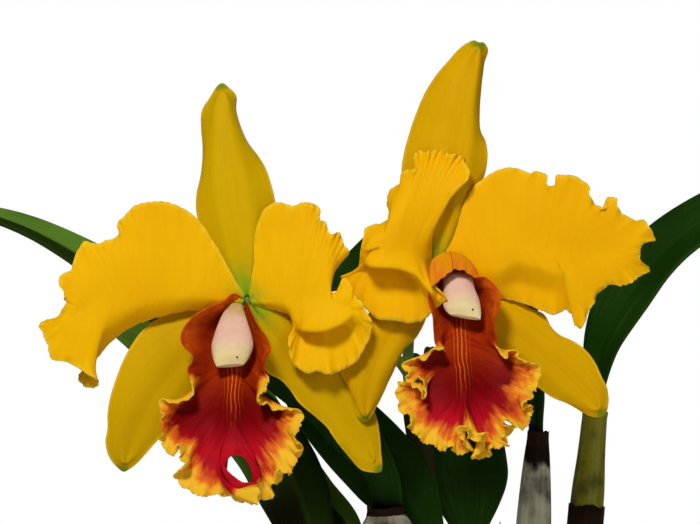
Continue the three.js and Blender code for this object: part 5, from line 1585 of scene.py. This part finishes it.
class ORCHID_OT_stage(bpy.types.Operator):
    """The floor, the lights and the camera"""

    bl_idname = "orchid.stage"
    bl_label = "Stage"

    def execute(self, context):
        scene = context.scene
        settings = scene.orchid_stage
        mesh = bmesh.new()
        bmesh.ops.create_circle(mesh, cap_ends=True, segments=96, radius=settings.floor_radius)
        data = bpy.data.meshes.new("floor")
        mesh.to_mesh(data)
        mesh.free()
        paper = bpy.data.materials.new("floor")
        paper.use_nodes = True
        tree = paper.node_tree
        shade = blend(tree, noise(tree, 3), rgba(settings.floor), rgba(settings.floor, 0.93))
        tree.links.new(shade, tree.nodes["Principled BSDF"].inputs["Base Color"])
        tree.nodes["Principled BSDF"].inputs["Roughness"].default_value = 0.8
        data.materials.append(paper)
        floor = bpy.data.objects.new("floor", data)
        scene.collection.objects.link(floor)

        world = bpy.data.worlds.new("surroundings")
        world.use_nodes = True
        tree = world.node_tree
        background = tree.nodes["Background"]
        seen = node(tree, "LightPath").outputs["Is Camera Ray"]
        strength = node(tree, "MapRange", {"Value": seen, "To Min": settings.fill, "To Max": 1})
        tree.links.new(strength.outputs[0], background.inputs["Strength"])
        background.inputs["Color"].default_value = (1, 1, 1, 1)
        scene.world = world

        blooms = Vector(BLOOMS_AT)
        for name, (direction, size) in LAMPS.items():
            lamp = bpy.data.lights.new(name, "AREA")
            lamp.shape = "DISK"
            lamp.size = size
            lamp.energy = getattr(settings, f"{name}_power")
            holder = bpy.data.objects.new(name, lamp)
            away = Vector(direction).normalized()
            holder.location = blooms + away * LAMP_DISTANCE
            holder.rotation_euler = away.to_track_quat("Z", "Y").to_euler()
            scene.collection.objects.link(holder)

        lens = bpy.data.cameras.new("camera")
        lens.sensor_width = SENSOR_WIDTH
        lens.lens = SENSOR_WIDTH * settings.camera_distance / settings.view_width
        lens.clip_start = 0.1
        lens.clip_end = 20
        camera = bpy.data.objects.new("camera", lens)
        camera.location = blooms + Vector((0, -settings.camera_distance, 0))
        camera.rotation_euler = (math.radians(90), 0, 0)
        scene.collection.objects.link(camera)
        scene.camera = camera
        scene.view_settings.view_transform = "Standard"
        return {"FINISHED"}


# ---- Panel and start -----------------------------------------------------


PIECES = (
    ORCHID_OT_pot, ORCHID_OT_bark, ORCHID_OT_rhizome, ORCHID_OT_pseudobulbs, ORCHID_OT_young_shoot,
    ORCHID_OT_leaves, ORCHID_OT_flower_stem, ORCHID_OT_columns, ORCHID_OT_lips, ORCHID_OT_petals,
    ORCHID_OT_sepals, ORCHID_OT_stage,
)


class ORCHID_PT_pieces(bpy.types.Panel):
    """The pieces of the orchid and their settings"""

    bl_label = "Potted orchid"
    bl_space_type = "VIEW_3D"
    bl_region_type = "UI"
    bl_category = "Orchid"

    def draw(self, context):
        """A button for each group of pieces, then each group's settings."""
        for step in PIECES:
            self.layout.operator(step.bl_idname)
        for group in GROUPS:
            box = self.layout.box()
            settings = getattr(context.scene, group)
            for name in settings.__annotations__:
                box.prop(settings, name)


GROUPS = {
    "orchid_flower": FlowerSettings,
    "orchid_plant": PlantSettings,
    "orchid_pot": PotSettings,
    "orchid_stage": StageSettings,
}


def register():
    """Adds the settings, the operators and the panel."""
    for made in (*GROUPS.values(), *PIECES, ORCHID_PT_pieces):
        bpy.utils.register_class(made)
    for name, group in GROUPS.items():
        setattr(bpy.types.Scene, name, bpy.props.PointerProperty(type=group))


def unregister():
    """Takes them out again."""
    for name in GROUPS:
        delattr(bpy.types.Scene, name)
    for made in reversed((*GROUPS.values(), *PIECES, ORCHID_PT_pieces)):
        bpy.utils.unregister_class(made)


def main():
    """Builds every piece."""
    register()
    for step in PIECES:
        getattr(bpy.ops.orchid, step.bl_idname.split(".")[1])()


if __name__ == "__main__":
    main()
